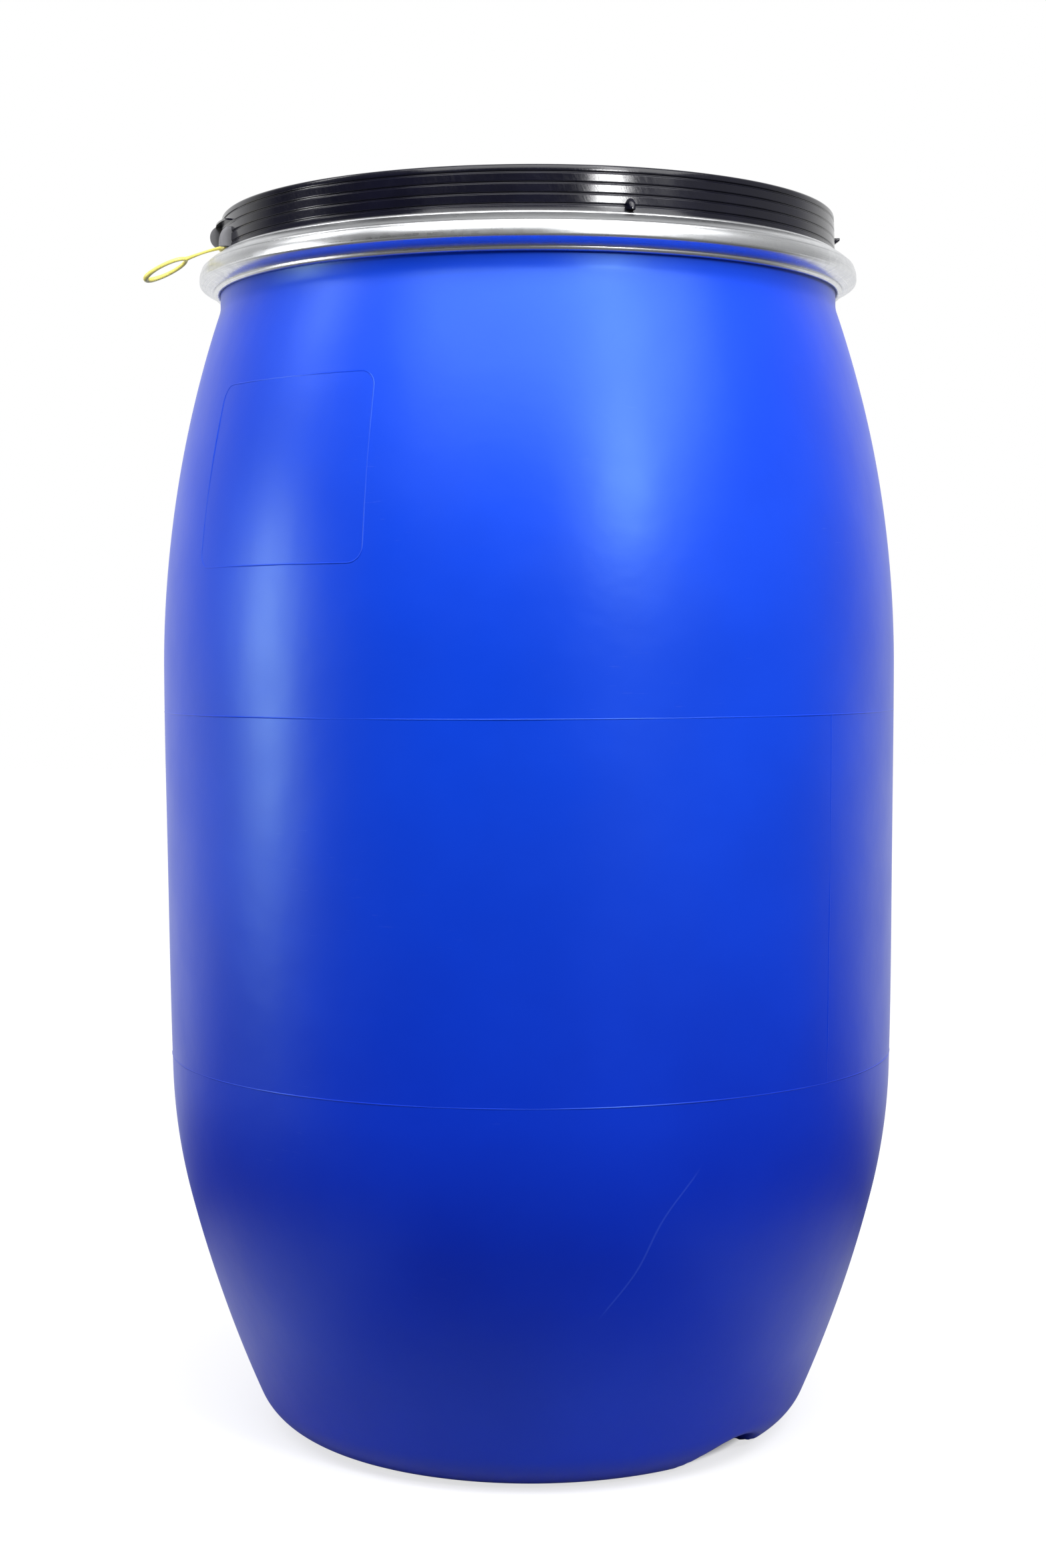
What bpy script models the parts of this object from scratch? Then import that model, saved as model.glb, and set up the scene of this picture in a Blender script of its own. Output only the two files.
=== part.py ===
"""Open-head plastic drum of about 120 litres, with a flanged lid, a gasket and a lever-locked closing ring.

The drum stands on its foot at z = 0 with its axis on Z. The side with the pull seal is -X, and
the closing lever lies behind it, towards +Y. All sizes are in metres, and all plan angles are
measured from +X towards +Y.
"""

import bmesh
import bpy
from math import asin, atan2, cos, pi, radians, sin, tan
from mathutils import Matrix, Vector

# Clearance between touching pieces
CLEAR = 0.0003

# Drum body
MOUTH_HEIGHT = 0.7612       # floor to the flat top of the mouth flange
BODY_RADIUS = 0.2428        # widest part of the body
BODY_WALL = 0.0036
SHOULDER_INSET = 0.0392     # neck inside the widest part
NECK_WALL = 0.0048          # clear mouth inside the neck
FLANGE_REACH = 0.0114       # mouth flange and lid flange outside the neck
NECK_DROP = 0.0222          # mouth down to the foot of the neck
SHOULDER_HEIGHT = 0.2335    # foot of the neck down to the widest part
WAIST_HEIGHT = 0.2650       # nearly straight wall under the shoulder
WAIST_DRAFT = 0.0026        # how much the straight wall narrows downwards
KNEE_HEIGHT = 0.1590        # floor to the knee of the lower wall
KNEE_INSET = 0.0133         # knee inside the widest part
HEEL_HEIGHT = 0.0246        # floor to the heel
HEEL_FLARE = 0.0365         # heel outside the foot
FOOT_INSET = 0.0948         # outer edge of the flat foot inside the widest part
FOOT_WIDTH = 0.0300         # flat ring that touches the floor
BASE_RISE = 0.0080          # push-up of the base inside the foot

# Scallops in the foot, on the mould's parting line
SCALLOP_WIDTH = 0.0820
SCALLOP_DEPTH = 0.0207
SCALLOP_REACH = 0.0130      # from the foot's outer edge inwards
SCALLOP_ANGLE = radians(-44)

# Lid
LID_STAND = 0.0388          # mouth up to the lid's rim
LID_WALL = 0.0035
LID_RIM_WIDTH = 0.0215
LID_RIM_FILLET = 0.0030
LID_PANEL_DROP = 0.0250     # rim down to the sunk panel
LID_PANEL_DRAFT = 0.0030
SKIRT_TAPER = 0.0012        # how much the skirt narrows upwards
GROOVE_COUNT = 4
GROOVE_TOP = 0.0046         # rim down to the first groove
GROOVE_PITCH = 0.0062
GROOVE_WIDTH = 0.0014
GROOVE_DEPTH = 0.0009
FLANGE_GAP = 0.0005         # lid flange above the mouth flange
SPIGOT_DEPTH = 0.0090
SPIGOT_GAP = 0.0006

# Gasket in the lid flange
GASKET_INSET = 0.0012       # inner edge outside the clear mouth
GASKET_WIDTH = 0.0070
GASKET_HEIGHT = 0.0030

# Lugs on the lid skirt
FRONT_NOSE_ANGLE = radians(-73)   # this nose and the one across from it
SIDE_NOSE_ANGLE = radians(201)    # this nose and the one across from it
NOSE_WIDTH = 0.0050
FRONT_NOSE_HEIGHT = 0.0069
FRONT_NOSE_REACH = 0.0060
SIDE_NOSE_HEIGHT = 0.0128
SIDE_NOSE_REACH = 0.0074
CHEEK_ANGLE = radians(186)
CHEEK_RADIUS = 0.0073
CHEEK_WIDTH = 0.0040
CHEEK_DROP = 0.0116         # rim down to the middle of the cheek
NUB_ANGLE = radians(-2)
NUB_WIDTH = 0.0060
NUB_HEIGHT = 0.0044
NUB_REACH = 0.0042
NUB_DROP = 0.0115           # rim down to the top of the nub
LUG_ROOT = 0.0016           # depth of a lug's root in the skirt

# Closing ring, a C-section with sloping lips
RING_PLAY = 0.0010          # flange edges to the inside of the ring's wall
RING_FLAT = 0.0100
RING_SHEET = 0.0012
RING_CORNER = 0.0022
LIP_SLOPE = radians(28)
LIP_GAP = 0.0008            # lip edge to the neck and to the lid skirt
RING_GAP = 0.0110           # open gap between the ring's ends

# Lever closure
PIVOT_ANGLE = radians(118)
PIVOT_STANDOFF = 0.0093     # ring face to the lever's pivot
PIN_STANDOFF = 0.0075       # ring face to the link's pin
PIN_REACH = 0.0235          # pivot to the link's pin, along the ring
LEVER_REACH = 0.1190        # pivot to the lever's free end
LEVER_TAIL = 0.0050         # lever behind its pivot
LEVER_WINDOW = 0.0400       # pivot to the start of the lever's back
LEVER_LIP = 0.0150          # finger lip at the free end
LEVER_LIP_ANGLE = radians(24)
CLOSURE_SHEET = 0.0015      # lever and brackets
EAR_HALF_GAP = 0.0065       # half the space between the bracket's ears
EAR_NOSE = 0.0042           # ear metal around the pivot
BRACKET_RUN = 0.0160        # lever bracket past its pivot
GAP_OFFSET = 0.0140         # pivot to the middle of the ring's gap
LINK_LENGTH = 0.0610        # link pin to the catch
LINK_SHEET = 0.0026
LINK_HALF_HEIGHT = 0.0045
LINK_EYE = 0.0045           # outer radius of the link's eye
HOOK_LEG = 0.0045
HOOK_PLAY = 0.0005
CATCH_RISE = 0.0060         # catch tab above its plate
CATCH_SHEET = 0.0020
CATCH_HALF_RUN = 0.0130     # half the length of the catch's plate
CATCH_HALF_HEIGHT = 0.0065
PIN_RADIUS = 0.0020
PIN_HEAD_RADIUS = 0.0034
PIN_HEAD_HEIGHT = 0.0012
RIVET_RADIUS = 0.0015
RIVET_HEAD_RADIUS = 0.0028
RIVET_HEAD_HEIGHT = 0.0011
RIVET_PITCH = 0.0095        # between the lever bracket's two rivets
CATCH_RIVET_PITCH = 0.0170  # between the catch's two rivets, either side of the tab

# Pull seal
SEAL_ROOT_ANGLE = radians(198)
SEAL_ROOT_STANDOFF = 0.0020   # skirt to the middle of the seal's bar
SEAL_ROOT_RISE = 0.0020       # ring lip to the middle of the seal's bar
SEAL_TURN = radians(30)       # the seal points to the back of straight out
SEAL_DROOP = radians(14.6)
SEAL_LOOP_DROOP = radians(10)   # the loop hangs further than the stem
SEAL_TWIST = radians(6)
SEAL_STEM = 0.0262
SEAL_LOOP_LENGTH = 0.0290
SEAL_LOOP_WIDTH = 0.0165
SEAL_LOOP_THICKNESS = 0.0024
SEAL_STEM_THICKNESS = 0.0020
SEAL_BAR = 0.0032

# Smoothness
TURN_STEPS = 48
PIN_STEPS = 20
ARC_STEP = radians(2.5)
BOOLEAN_MARGIN = 0.004

# Levels and radii that follow from the sizes above
NECK_RADIUS = BODY_RADIUS - SHOULDER_INSET
MOUTH_RADIUS = NECK_RADIUS - NECK_WALL
FLANGE_RADIUS = NECK_RADIUS + FLANGE_REACH
FOOT_RADIUS = BODY_RADIUS - FOOT_INSET
RING_RADIUS = FLANGE_RADIUS + RING_PLAY + RING_SHEET
NECK_FOOT = MOUTH_HEIGHT - NECK_DROP
LID_TOP = MOUTH_HEIGHT + LID_STAND
LIP_EDGE = NECK_RADIUS + LIP_GAP
PIVOT_RADIUS = RING_RADIUS + PIVOT_STANDOFF
PIN_CENTRE_RADIUS = RING_RADIUS + PIN_STANDOFF
PLATE_INNER = RING_RADIUS + CLEAR
PLATE_OUTER = PLATE_INNER + CLOSURE_SHEET
EAR_OUTER = PIVOT_RADIUS + EAR_NOSE
EAR_TOP = EAR_HALF_GAP + CLOSURE_SHEET
LEVER_INNER = RING_RADIUS + 2 * CLEAR
LEVER_BACK = EAR_OUTER + 2 * CLEAR
LEVER_OUTER = LEVER_BACK + CLOSURE_SHEET
FLANGE_LOW = EAR_TOP + CLEAR
FLANGE_TOP = FLANGE_LOW + CLOSURE_SHEET
PIN_ANGLE = PIVOT_ANGLE + PIN_REACH / RING_RADIUS
CATCH_ANGLE = PIN_ANGLE - LINK_LENGTH / RING_RADIUS
CATCH_TOP = PLATE_OUTER + CATCH_RISE
HOOK_RADIUS = CATCH_TOP + HOOK_PLAY + LINK_SHEET / 2


def lip_rise(radius):
    """Height of the ring's outer lip face above or below the mouth, at a radius."""
    return RING_FLAT / 2 + (RING_RADIUS - radius) * tan(LIP_SLOPE)


def flange_rise(radius):
    """Height of the flange faces that the ring's lips press on, at a radius."""
    return lip_rise(radius) - (RING_SHEET + CLEAR) / cos(LIP_SLOPE)


def skirt_radius(height):
    """Radius of the lid's tapered skirt at a height."""
    return NECK_RADIUS - SKIRT_TAPER * (height - MOUTH_HEIGHT) / LID_STAND


def polar(radius, angle, height=0.0):
    return Vector((radius * cos(angle), radius * sin(angle), height))


def along_ring(distance):
    """Plan angle of a length along the ring."""
    return distance / RING_RADIUS


# Scene, materials and small tools

def clear_scene():
    for old in list(bpy.data.objects):
        bpy.data.objects.remove(old, do_unlink=True)


def new_collection(name):
    made = bpy.data.collections.new(name)
    bpy.context.scene.collection.children.link(made)
    return made


def new_material(name, colour, roughness, metallic=0.0):
    made = bpy.data.materials.new(name)
    made.use_nodes = True
    shader = made.node_tree.nodes["Principled BSDF"]
    shader.inputs["Base Color"].default_value = (*colour, 1.0)
    shader.inputs["Roughness"].default_value = roughness
    shader.inputs["Metallic"].default_value = metallic
    return made


def add_object(name, mesh, group):
    made = bpy.data.objects.new(name, mesh)
    group.objects.link(made)
    return made


def add_part(name, mesh, material):
    made = add_object(name, mesh, PARTS)
    mesh.materials.append(material)
    return made


def as_cutter(made):
    made.hide_render = True
    made.display_type = "WIRE"
    return made


def smooth(made, angle=radians(35)):
    made.data.shade_smooth()
    made.data.set_sharp_from_angle(angle=angle)
    return made


def boolean(made, other, operation):
    step = made.modifiers.new(operation.lower() + "_" + other.name, "BOOLEAN")
    step.operation = operation
    step.object = other
    return made


def carry(made, axis):
    """Hang a finished piece on the empty of its joint, without moving it."""
    made.parent = axis
    made.matrix_parent_inverse = axis.matrix_basis.inverted()
    return made


def new_axis(name, place):
    made = bpy.data.objects.new(name, None)
    made.empty_display_size = 0.03
    made.location = place
    PARTS.objects.link(made)
    return made


def profile_mesh(name, profile, closed=False):
    shape = bmesh.new()
    points = [shape.verts.new((radius, 0.0, height)) for radius, height in profile]
    for first, second in zip(points, points[1:]):
        shape.edges.new((first, second))
    if closed:
        shape.edges.new((points[-1], points[0]))
    mesh = bpy.data.meshes.new(name)
    shape.to_mesh(mesh)
    shape.free()
    return mesh


def turn(made, steps):
    """Turn a profile at +X once round Z."""
    spin = made.modifiers.new("turned", "SCREW")
    spin.axis = "Z"
    spin.angle = 2 * pi
    spin.steps = steps
    spin.render_steps = steps
    spin.use_merge_vertices = True
    spin.merge_threshold = 0.00001
    spin.use_smooth_shade = True
    return made


def turned_part(name, profile, material, closed=False, steps=TURN_STEPS):
    return turn(add_part(name, profile_mesh(name, profile, closed), material), steps)


def turned_cutter(name, profile):
    return as_cutter(turn(add_object(name, profile_mesh(name, profile), CUTTERS), TURN_STEPS))


def cylinder_mesh(name, radius, length, steps):
    shape = bmesh.new()
    bmesh.ops.create_cone(
        shape, cap_ends=True, segments=steps, radius1=radius, radius2=radius, depth=length
    )
    mesh = bpy.data.meshes.new(name)
    shape.to_mesh(mesh)
    shape.free()
    return mesh


def upright_hole(name, place, radius, half_length):
    mesh = cylinder_mesh(name, radius, 2 * half_length, PIN_STEPS)
    made = as_cutter(add_object(name, mesh, CUTTERS))
    made.location = place
    return made


def radial_hole(name, angle, radius):
    """A hole through the ring's wall and the plate on it."""
    reach = 2 * (CLOSURE_SHEET + RING_SHEET + BOOLEAN_MARGIN)
    made = as_cutter(add_object(name, cylinder_mesh(name, radius, reach, PIN_STEPS), CUTTERS))
    made.location = polar(RING_RADIUS, angle, MOUTH_HEIGHT)
    made.rotation_euler = (0.0, pi / 2, angle)
    return made


def flat_mesh(name, outlines, half_thickness):
    """Mesh of a flat outline, with holes, thickened both ways from its plane."""
    curve = bpy.data.curves.new(name, "CURVE")
    curve.dimensions = "2D"
    curve.fill_mode = "BOTH"
    curve.extrude = half_thickness
    for outline in outlines:
        spline = curve.splines.new("POLY")
        spline.points.add(len(outline) - 1)
        spline.use_cyclic_u = True
        for point, (x, y) in zip(spline.points, outline):
            point.co = (x, y, 0.0, 1.0)
    return welded_mesh(name, curve)


def welded_mesh(name, curve):
    """Plain closed mesh of a curve, with its caps welded on."""
    guide = add_object(name + "_guide", curve, CUTTERS)
    mesh = bpy.data.meshes.new_from_object(guide.evaluated_get(bpy.context.evaluated_depsgraph_get()))
    mesh.name = name
    bpy.data.objects.remove(guide, do_unlink=True)
    shape = bmesh.new()
    shape.from_mesh(mesh)
    bmesh.ops.remove_doubles(shape, verts=shape.verts, dist=0.00001)
    bmesh.ops.recalc_face_normals(shape, faces=shape.faces)
    shape.to_mesh(mesh)
    shape.free()
    return mesh


def plan_plate(name, outlines, half_height, group):
    """A plate with a plan outline, level with the mouth."""
    made = add_object(name, flat_mesh(name, outlines, half_height), group)
    made.location.z = MOUTH_HEIGHT
    return made


def arc_points(radius, start, end):
    count = max(1, round(abs(end - start) / ARC_STEP))
    return [polar(radius, start + (end - start) * i / count).xy for i in range(count + 1)]


def arc_band(inner, outer, start, end):
    """Plan outline of a strip that follows the ring."""
    return arc_points(outer, start, end) + arc_points(inner, end, start)


def circle_points(centre, radius, steps):
    return [
        (centre[0] + radius * cos(2 * pi * i / steps), centre[1] + radius * sin(2 * pi * i / steps))
        for i in range(steps)
    ]


# Drum body

def tangent_arc(start, heading, end, steps):
    """Points of the arc that leaves start at a heading and reaches end, and its heading there."""
    chord = Vector(end) - Vector(start)
    bend = atan2(chord.y, chord.x) - heading
    points = []
    for i in range(1, steps + 1):
        share = i / steps
        reach = chord.length * (sin(bend * share) / sin(bend) if abs(bend) > 1e-6 else share)
        turn_to = heading + bend * share
        points.append((start[0] + reach * cos(turn_to), start[1] + reach * sin(turn_to)))
    return points, heading + 2 * bend


def wall_profile(inset, detail):
    """The body's wall from the foot of the neck to the foot, moved inwards by a wall's thickness."""
    shoulder_foot = NECK_FOOT - SHOULDER_HEIGHT
    stations = [
        ((BODY_RADIUS - WAIST_DRAFT, shoulder_foot - WAIST_HEIGHT), 2),
        ((BODY_RADIUS - KNEE_INSET, KNEE_HEIGHT), 4),
        ((FOOT_RADIUS + HEEL_FLARE, HEEL_HEIGHT), 4),
        ((FOOT_RADIUS, 0.0), 4),
    ]
    points, headings = shoulder_arc(shoulder_foot, 4 + 2 * detail)
    heading = -pi / 2
    for target, steps in stations:
        start, first_heading = points[-1], heading
        stretch, heading = tangent_arc(start, heading, target, steps + detail)
        count = len(stretch)
        points += stretch
        headings += [
            first_heading + (heading - first_heading) * i / count for i in range(1, count + 1)
        ]
    return [
        (radius + inset * sin(lean), height - inset * cos(lean))
        for (radius, height), lean in zip(points, headings)
    ]


def shoulder_arc(shoulder_foot, steps):
    """The shoulder from the neck down to where the wall stands upright, and the wall's headings."""
    spread = BODY_RADIUS - NECK_RADIUS
    bow = (SHOULDER_HEIGHT**2 + spread**2) / (2 * spread)
    lean = asin(SHOULDER_HEIGHT / bow)
    points, headings = [], []
    for i in range(steps + 1):
        here = lean * (1 - i / steps)
        points.append((BODY_RADIUS - bow * (1 - cos(here)), shoulder_foot + bow * sin(here)))
        headings.append(here - pi / 2)
    return points, headings


def make_body(material):
    foot_inner = FOOT_RADIUS - FOOT_WIDTH
    outer = [(0.0, MOUTH_HEIGHT), (FLANGE_RADIUS, MOUTH_HEIGHT)]
    outer += [(radius, MOUTH_HEIGHT - flange_rise(radius)) for radius in (FLANGE_RADIUS, NECK_RADIUS)]
    outer += wall_profile(0.0, 1)
    outer += [(foot_inner, 0.0), (foot_inner - BASE_RISE, BASE_RISE), (0.0, BASE_RISE)]
    body = turned_part("drum_body", outer, material)

    lift = Vector((0.0, BODY_WALL))
    inner = [(0.0, MOUTH_HEIGHT + BOOLEAN_MARGIN), (MOUTH_RADIUS, MOUTH_HEIGHT + BOOLEAN_MARGIN)]
    inner += [(MOUTH_RADIUS, NECK_FOOT)]
    inner += wall_profile(BODY_WALL, 0)
    inner += [Vector((foot_inner, 0.0)) + lift, Vector((foot_inner - BASE_RISE, BASE_RISE)) + lift]
    inner += [Vector((0.0, BASE_RISE)) + lift]
    hollow = turned_cutter("drum_hollow", inner)

    for index, angle in enumerate((SCALLOP_ANGLE, SCALLOP_ANGLE + pi)):
        boolean(hollow, scallop(f"scallop_core_{index}", angle, BODY_WALL), "DIFFERENCE")
    boolean(body, hollow, "DIFFERENCE")
    for index, angle in enumerate((SCALLOP_ANGLE, SCALLOP_ANGLE + pi)):
        boolean(body, scallop(f"scallop_{index}", angle, 0.0), "DIFFERENCE")
    return body


def scallop(name, angle, grow):
    """Low arch that relieves the foot, grown by a wall where it dents the hollow."""
    bow = (SCALLOP_WIDTH**2 / 4 + SCALLOP_DEPTH**2) / (2 * SCALLOP_DEPTH)
    inner_end = FOOT_RADIUS - SCALLOP_REACH - grow
    outer_end = FOOT_RADIUS + HEEL_FLARE + BOOLEAN_MARGIN
    mesh = cylinder_mesh(name, bow + grow, outer_end - inner_end, 3 * TURN_STEPS)
    made = as_cutter(add_object(name, mesh, CUTTERS))
    made.location = polar((inner_end + outer_end) / 2, angle, SCALLOP_DEPTH - bow)
    made.rotation_euler = (0.0, pi / 2, angle)
    return made


# Lid and gasket

def make_lid(material):
    rim_outer = NECK_RADIUS - SKIRT_TAPER
    rim_inner = rim_outer - LID_RIM_WIDTH
    panel_edge = rim_inner - LID_PANEL_DRAFT
    panel_top = LID_TOP - LID_PANEL_DROP
    fillet = LID_RIM_FILLET
    fillet_mid = fillet * (1 - cos(pi / 4))
    profile = [(0.0, panel_top), (panel_edge, panel_top), (rim_inner, LID_TOP - fillet)]
    profile += [(rim_inner + fillet_mid, LID_TOP - fillet_mid), (rim_inner + fillet, LID_TOP)]
    profile += [(rim_outer - fillet, LID_TOP), (rim_outer - fillet_mid, LID_TOP - fillet_mid)]
    profile += [(rim_outer, LID_TOP - fillet)]
    for index in range(GROOVE_COUNT):
        middle = LID_TOP - GROOVE_TOP - index * GROOVE_PITCH
        for offset, depth in ((0.5, 0.0), (0.0, GROOVE_DEPTH), (-0.5, 0.0)):
            height = middle + offset * GROOVE_WIDTH
            profile.append((skirt_radius(height) - depth, height))
    profile += [(radius, MOUTH_HEIGHT + flange_rise(radius)) for radius in (NECK_RADIUS, FLANGE_RADIUS)]

    underside = MOUTH_HEIGHT + FLANGE_GAP
    channel_roof = MOUTH_HEIGHT + GASKET_HEIGHT + 2 * CLEAR
    channel_inner = MOUTH_RADIUS + GASKET_INSET - CLEAR
    channel_outer = channel_inner + GASKET_WIDTH + 2 * CLEAR
    spigot_outer = MOUTH_RADIUS - SPIGOT_GAP
    spigot_inner = spigot_outer - LID_WALL
    spigot_foot = MOUTH_HEIGHT - SPIGOT_DEPTH
    profile += [(FLANGE_RADIUS, underside), (channel_outer, underside), (channel_outer, channel_roof)]
    profile += [(channel_inner, channel_roof), (channel_inner, underside), (spigot_outer, underside)]
    profile += [(spigot_outer, spigot_foot), (spigot_inner, spigot_foot)]

    skirt_root = MOUTH_HEIGHT + flange_rise(NECK_RADIUS)
    roof = LID_TOP - LID_WALL
    profile += [(spigot_inner, skirt_root - LID_WALL), (NECK_RADIUS - LID_WALL, skirt_root)]
    profile += [(rim_outer - LID_WALL, roof), (rim_inner + LID_WALL, roof)]
    profile += [(panel_edge + LID_WALL, panel_top - LID_WALL), (0.0, panel_top - LID_WALL)]
    lid = turned_part("drum_lid", profile, material)
    for lug in lid_lugs():
        boolean(lid, lug, "UNION")
    return lid


def lid_lugs():
    ring_top = MOUTH_HEIGHT + lip_rise(NECK_RADIUS) + 2 * CLEAR
    lugs = []
    for side, angle, reach, height in (
        ("front", FRONT_NOSE_ANGLE, FRONT_NOSE_REACH, FRONT_NOSE_HEIGHT),
        ("side", SIDE_NOSE_ANGLE, SIDE_NOSE_REACH, SIDE_NOSE_HEIGHT),
    ):
        nose = [
            (reach * cos(lean), ring_top + height * sin(lean))
            for lean in (0.0, radians(25), radians(50), radians(72))
        ]
        nose += [(0.0, ring_top + height)]
        lugs.append(fin(f"{side}_ring_nose", nose, angle, NOSE_WIDTH))
        lugs.append(fin(f"far_{side}_ring_nose", nose, angle + pi, NOSE_WIDTH))

    cheek_middle = LID_TOP - CHEEK_DROP
    leans = [radians(-90 + 20 * i) for i in range(10)]
    cheek = [(CHEEK_RADIUS * cos(lean), cheek_middle + CHEEK_RADIUS * sin(lean)) for lean in leans]
    lugs.append(fin("seal_cheek", cheek, CHEEK_ANGLE, CHEEK_WIDTH))

    nub_top = LID_TOP - NUB_DROP
    nub = [(0.0, nub_top - NUB_HEIGHT), (NUB_REACH, nub_top - NUB_HEIGHT / 3), (NUB_REACH, nub_top)]
    lugs.append(fin("side_nub", nub, NUB_ANGLE, NUB_WIDTH))
    return lugs


def fin(name, outline, angle, width):
    """A plate standing out of the skirt, from its outline of reach and height."""
    rooted = [(-LUG_ROOT, outline[0][1])] + outline + [(-LUG_ROOT, outline[-1][1])]
    standing = [(skirt_radius(height) + reach, height) for reach, height in rooted]
    made = as_cutter(add_object(name, flat_mesh(name, [standing], width / 2), CUTTERS))
    made.rotation_euler = (pi / 2, 0.0, angle)
    return made


def make_gasket(material):
    inner = MOUTH_RADIUS + GASKET_INSET
    outer = inner + GASKET_WIDTH
    low = MOUTH_HEIGHT + CLEAR
    high = low + GASKET_HEIGHT
    profile = [(inner, high), (outer, high), (outer, low), (inner, low)]
    return turned_part("lid_gasket", profile, material, closed=True)


# Closing ring

def ring_section():
    """C-section from the upper lip's edge down the outside, and back up the inside."""
    outside, inside = [], []
    lip_along = Vector((cos(LIP_SLOPE), sin(LIP_SLOPE)))
    for radius, grow, edge in ((RING_RADIUS, 0.0, outside), (RING_RADIUS - RING_SHEET, 1.0, inside)):
        drop = grow * RING_SHEET / cos(LIP_SLOPE)
        corner_rise = lip_rise(radius) - drop
        corner = max(RING_CORNER - grow * RING_SHEET, RING_CORNER / 3)
        lip_end = (LIP_EDGE, lip_rise(LIP_EDGE) - drop)
        lip_side = (radius - corner * lip_along.x, corner_rise + corner * lip_along.y)
        wall_side = (radius, corner_rise - corner)
        middle = (
            (lip_side[0] + wall_side[0] + 2 * radius) / 4,
            (lip_side[1] + wall_side[1] + 2 * corner_rise) / 4,
        )
        edge += [lip_end, lip_side, middle, wall_side]
    upper_out = [(radius, MOUTH_HEIGHT + rise) for radius, rise in outside]
    lower_out = [(radius, MOUTH_HEIGHT - rise) for radius, rise in reversed(outside)]
    lower_in = [(radius, MOUTH_HEIGHT - rise) for radius, rise in inside]
    upper_in = [(radius, MOUTH_HEIGHT + rise) for radius, rise in reversed(inside)]
    return upper_out + lower_out + lower_in + upper_in


def make_ring(material, rivet_angles):
    ring = turned_part("ring_band", ring_section(), material, closed=True)
    reach = 2 * (RING_RADIUS - LIP_EDGE + BOOLEAN_MARGIN)
    angle = PIVOT_ANGLE - along_ring(GAP_OFFSET)
    mesh = bpy.data.meshes.new("ring_gap")
    shape = bmesh.new()
    size = Matrix.Diagonal((reach, RING_GAP, 4 * lip_rise(LIP_EDGE), 1.0))
    bmesh.ops.create_cube(shape, size=1.0, matrix=size)
    shape.to_mesh(mesh)
    shape.free()
    gap = as_cutter(add_object("ring_gap", mesh, CUTTERS))
    gap.location = polar((RING_RADIUS + LIP_EDGE) / 2, angle, MOUTH_HEIGHT)
    gap.rotation_euler.z = angle
    boolean(ring, gap, "DIFFERENCE")
    for index, place in enumerate(rivet_angles):
        boolean(ring, radial_hole(f"ring_rivet_hole_{index}", place, RIVET_RADIUS + CLEAR), "DIFFERENCE")
    return ring


# Lever closure

def bracket_rivet_angles():
    first = PIVOT_ANGLE + along_ring(BRACKET_RUN - EAR_NOSE) / 2 - along_ring(RIVET_PITCH) / 2
    return [first, first + along_ring(RIVET_PITCH)]


def catch_rivet_angles():
    half = along_ring(CATCH_RIVET_PITCH) / 2
    return [CATCH_ANGLE - half, CATCH_ANGLE + half]


def make_lever_bracket(material):
    """Saddle on the ring with an upper and a lower ear for the lever's pivot."""
    start = PIVOT_ANGLE - along_ring(EAR_NOSE)
    end = PIVOT_ANGLE + along_ring(BRACKET_RUN)
    block = plan_plate("lever_bracket", [arc_band(PLATE_INNER, EAR_OUTER, start, end)], EAR_TOP, PARTS)
    block.data.materials.append(material)
    spare = along_ring(BOOLEAN_MARGIN)
    band = arc_band(PLATE_OUTER, EAR_OUTER + BOOLEAN_MARGIN, start - spare, end + spare)
    boolean(block, as_cutter(plan_plate("ear_space", [band], EAR_HALF_GAP, CUTTERS)), "DIFFERENCE")
    pivot = polar(PIVOT_RADIUS, PIVOT_ANGLE, MOUTH_HEIGHT)
    boolean(block, upright_hole("ear_holes", pivot, PIN_RADIUS + CLEAR, 2 * EAR_TOP), "DIFFERENCE")
    for index, angle in enumerate(bracket_rivet_angles()):
        hole = radial_hole(f"bracket_rivet_hole_{index}", angle, RIVET_RADIUS + CLEAR)
        boolean(block, hole, "DIFFERENCE")
    return block


def link_frame():
    """Plan frame of the link: from its pin towards the hook, with outwards to the side."""
    pin = polar(PIN_CENTRE_RADIUS, PIN_ANGLE)
    hook = polar(HOOK_RADIUS, CATCH_ANGLE)
    along = (hook - pin).normalized()
    outward = Vector((0.0, 0.0, 1.0)).cross(along)
    if outward.dot(pin) < 0:
        outward = -outward
    return pin, along, outward, (hook - pin).length


def in_link_frame(points):
    pin, along, outward, _ = link_frame()
    return [(pin + along * u + outward * v).xy for u, v in points]


def make_catch(material):
    """Plate on the ring's other end, with a tab that the link hooks behind."""
    run = along_ring(CATCH_HALF_RUN)
    band = arc_band(PLATE_INNER, PLATE_OUTER, CATCH_ANGLE - run, CATCH_ANGLE + run)
    plate = plan_plate("catch_bracket", [band], CATCH_HALF_HEIGHT, PARTS)
    plate.data.materials.append(material)
    length = link_frame()[3]
    top = -LINK_SHEET / 2 - HOOK_PLAY
    foot = top - CATCH_RISE - CLOSURE_SHEET / 2
    side = CATCH_SHEET / 2
    corners = [(length - side, top), (length + side, top), (length + side, foot), (length - side, foot)]
    tab = plan_plate("catch_tab", [in_link_frame(corners)], LINK_HALF_HEIGHT, CUTTERS)
    boolean(plate, as_cutter(tab), "UNION")
    for index, angle in enumerate(catch_rivet_angles()):
        hole = radial_hole(f"catch_rivet_hole_{index}", angle, RIVET_RADIUS + CLEAR)
        boolean(plate, hole, "DIFFERENCE")
    return plate


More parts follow.
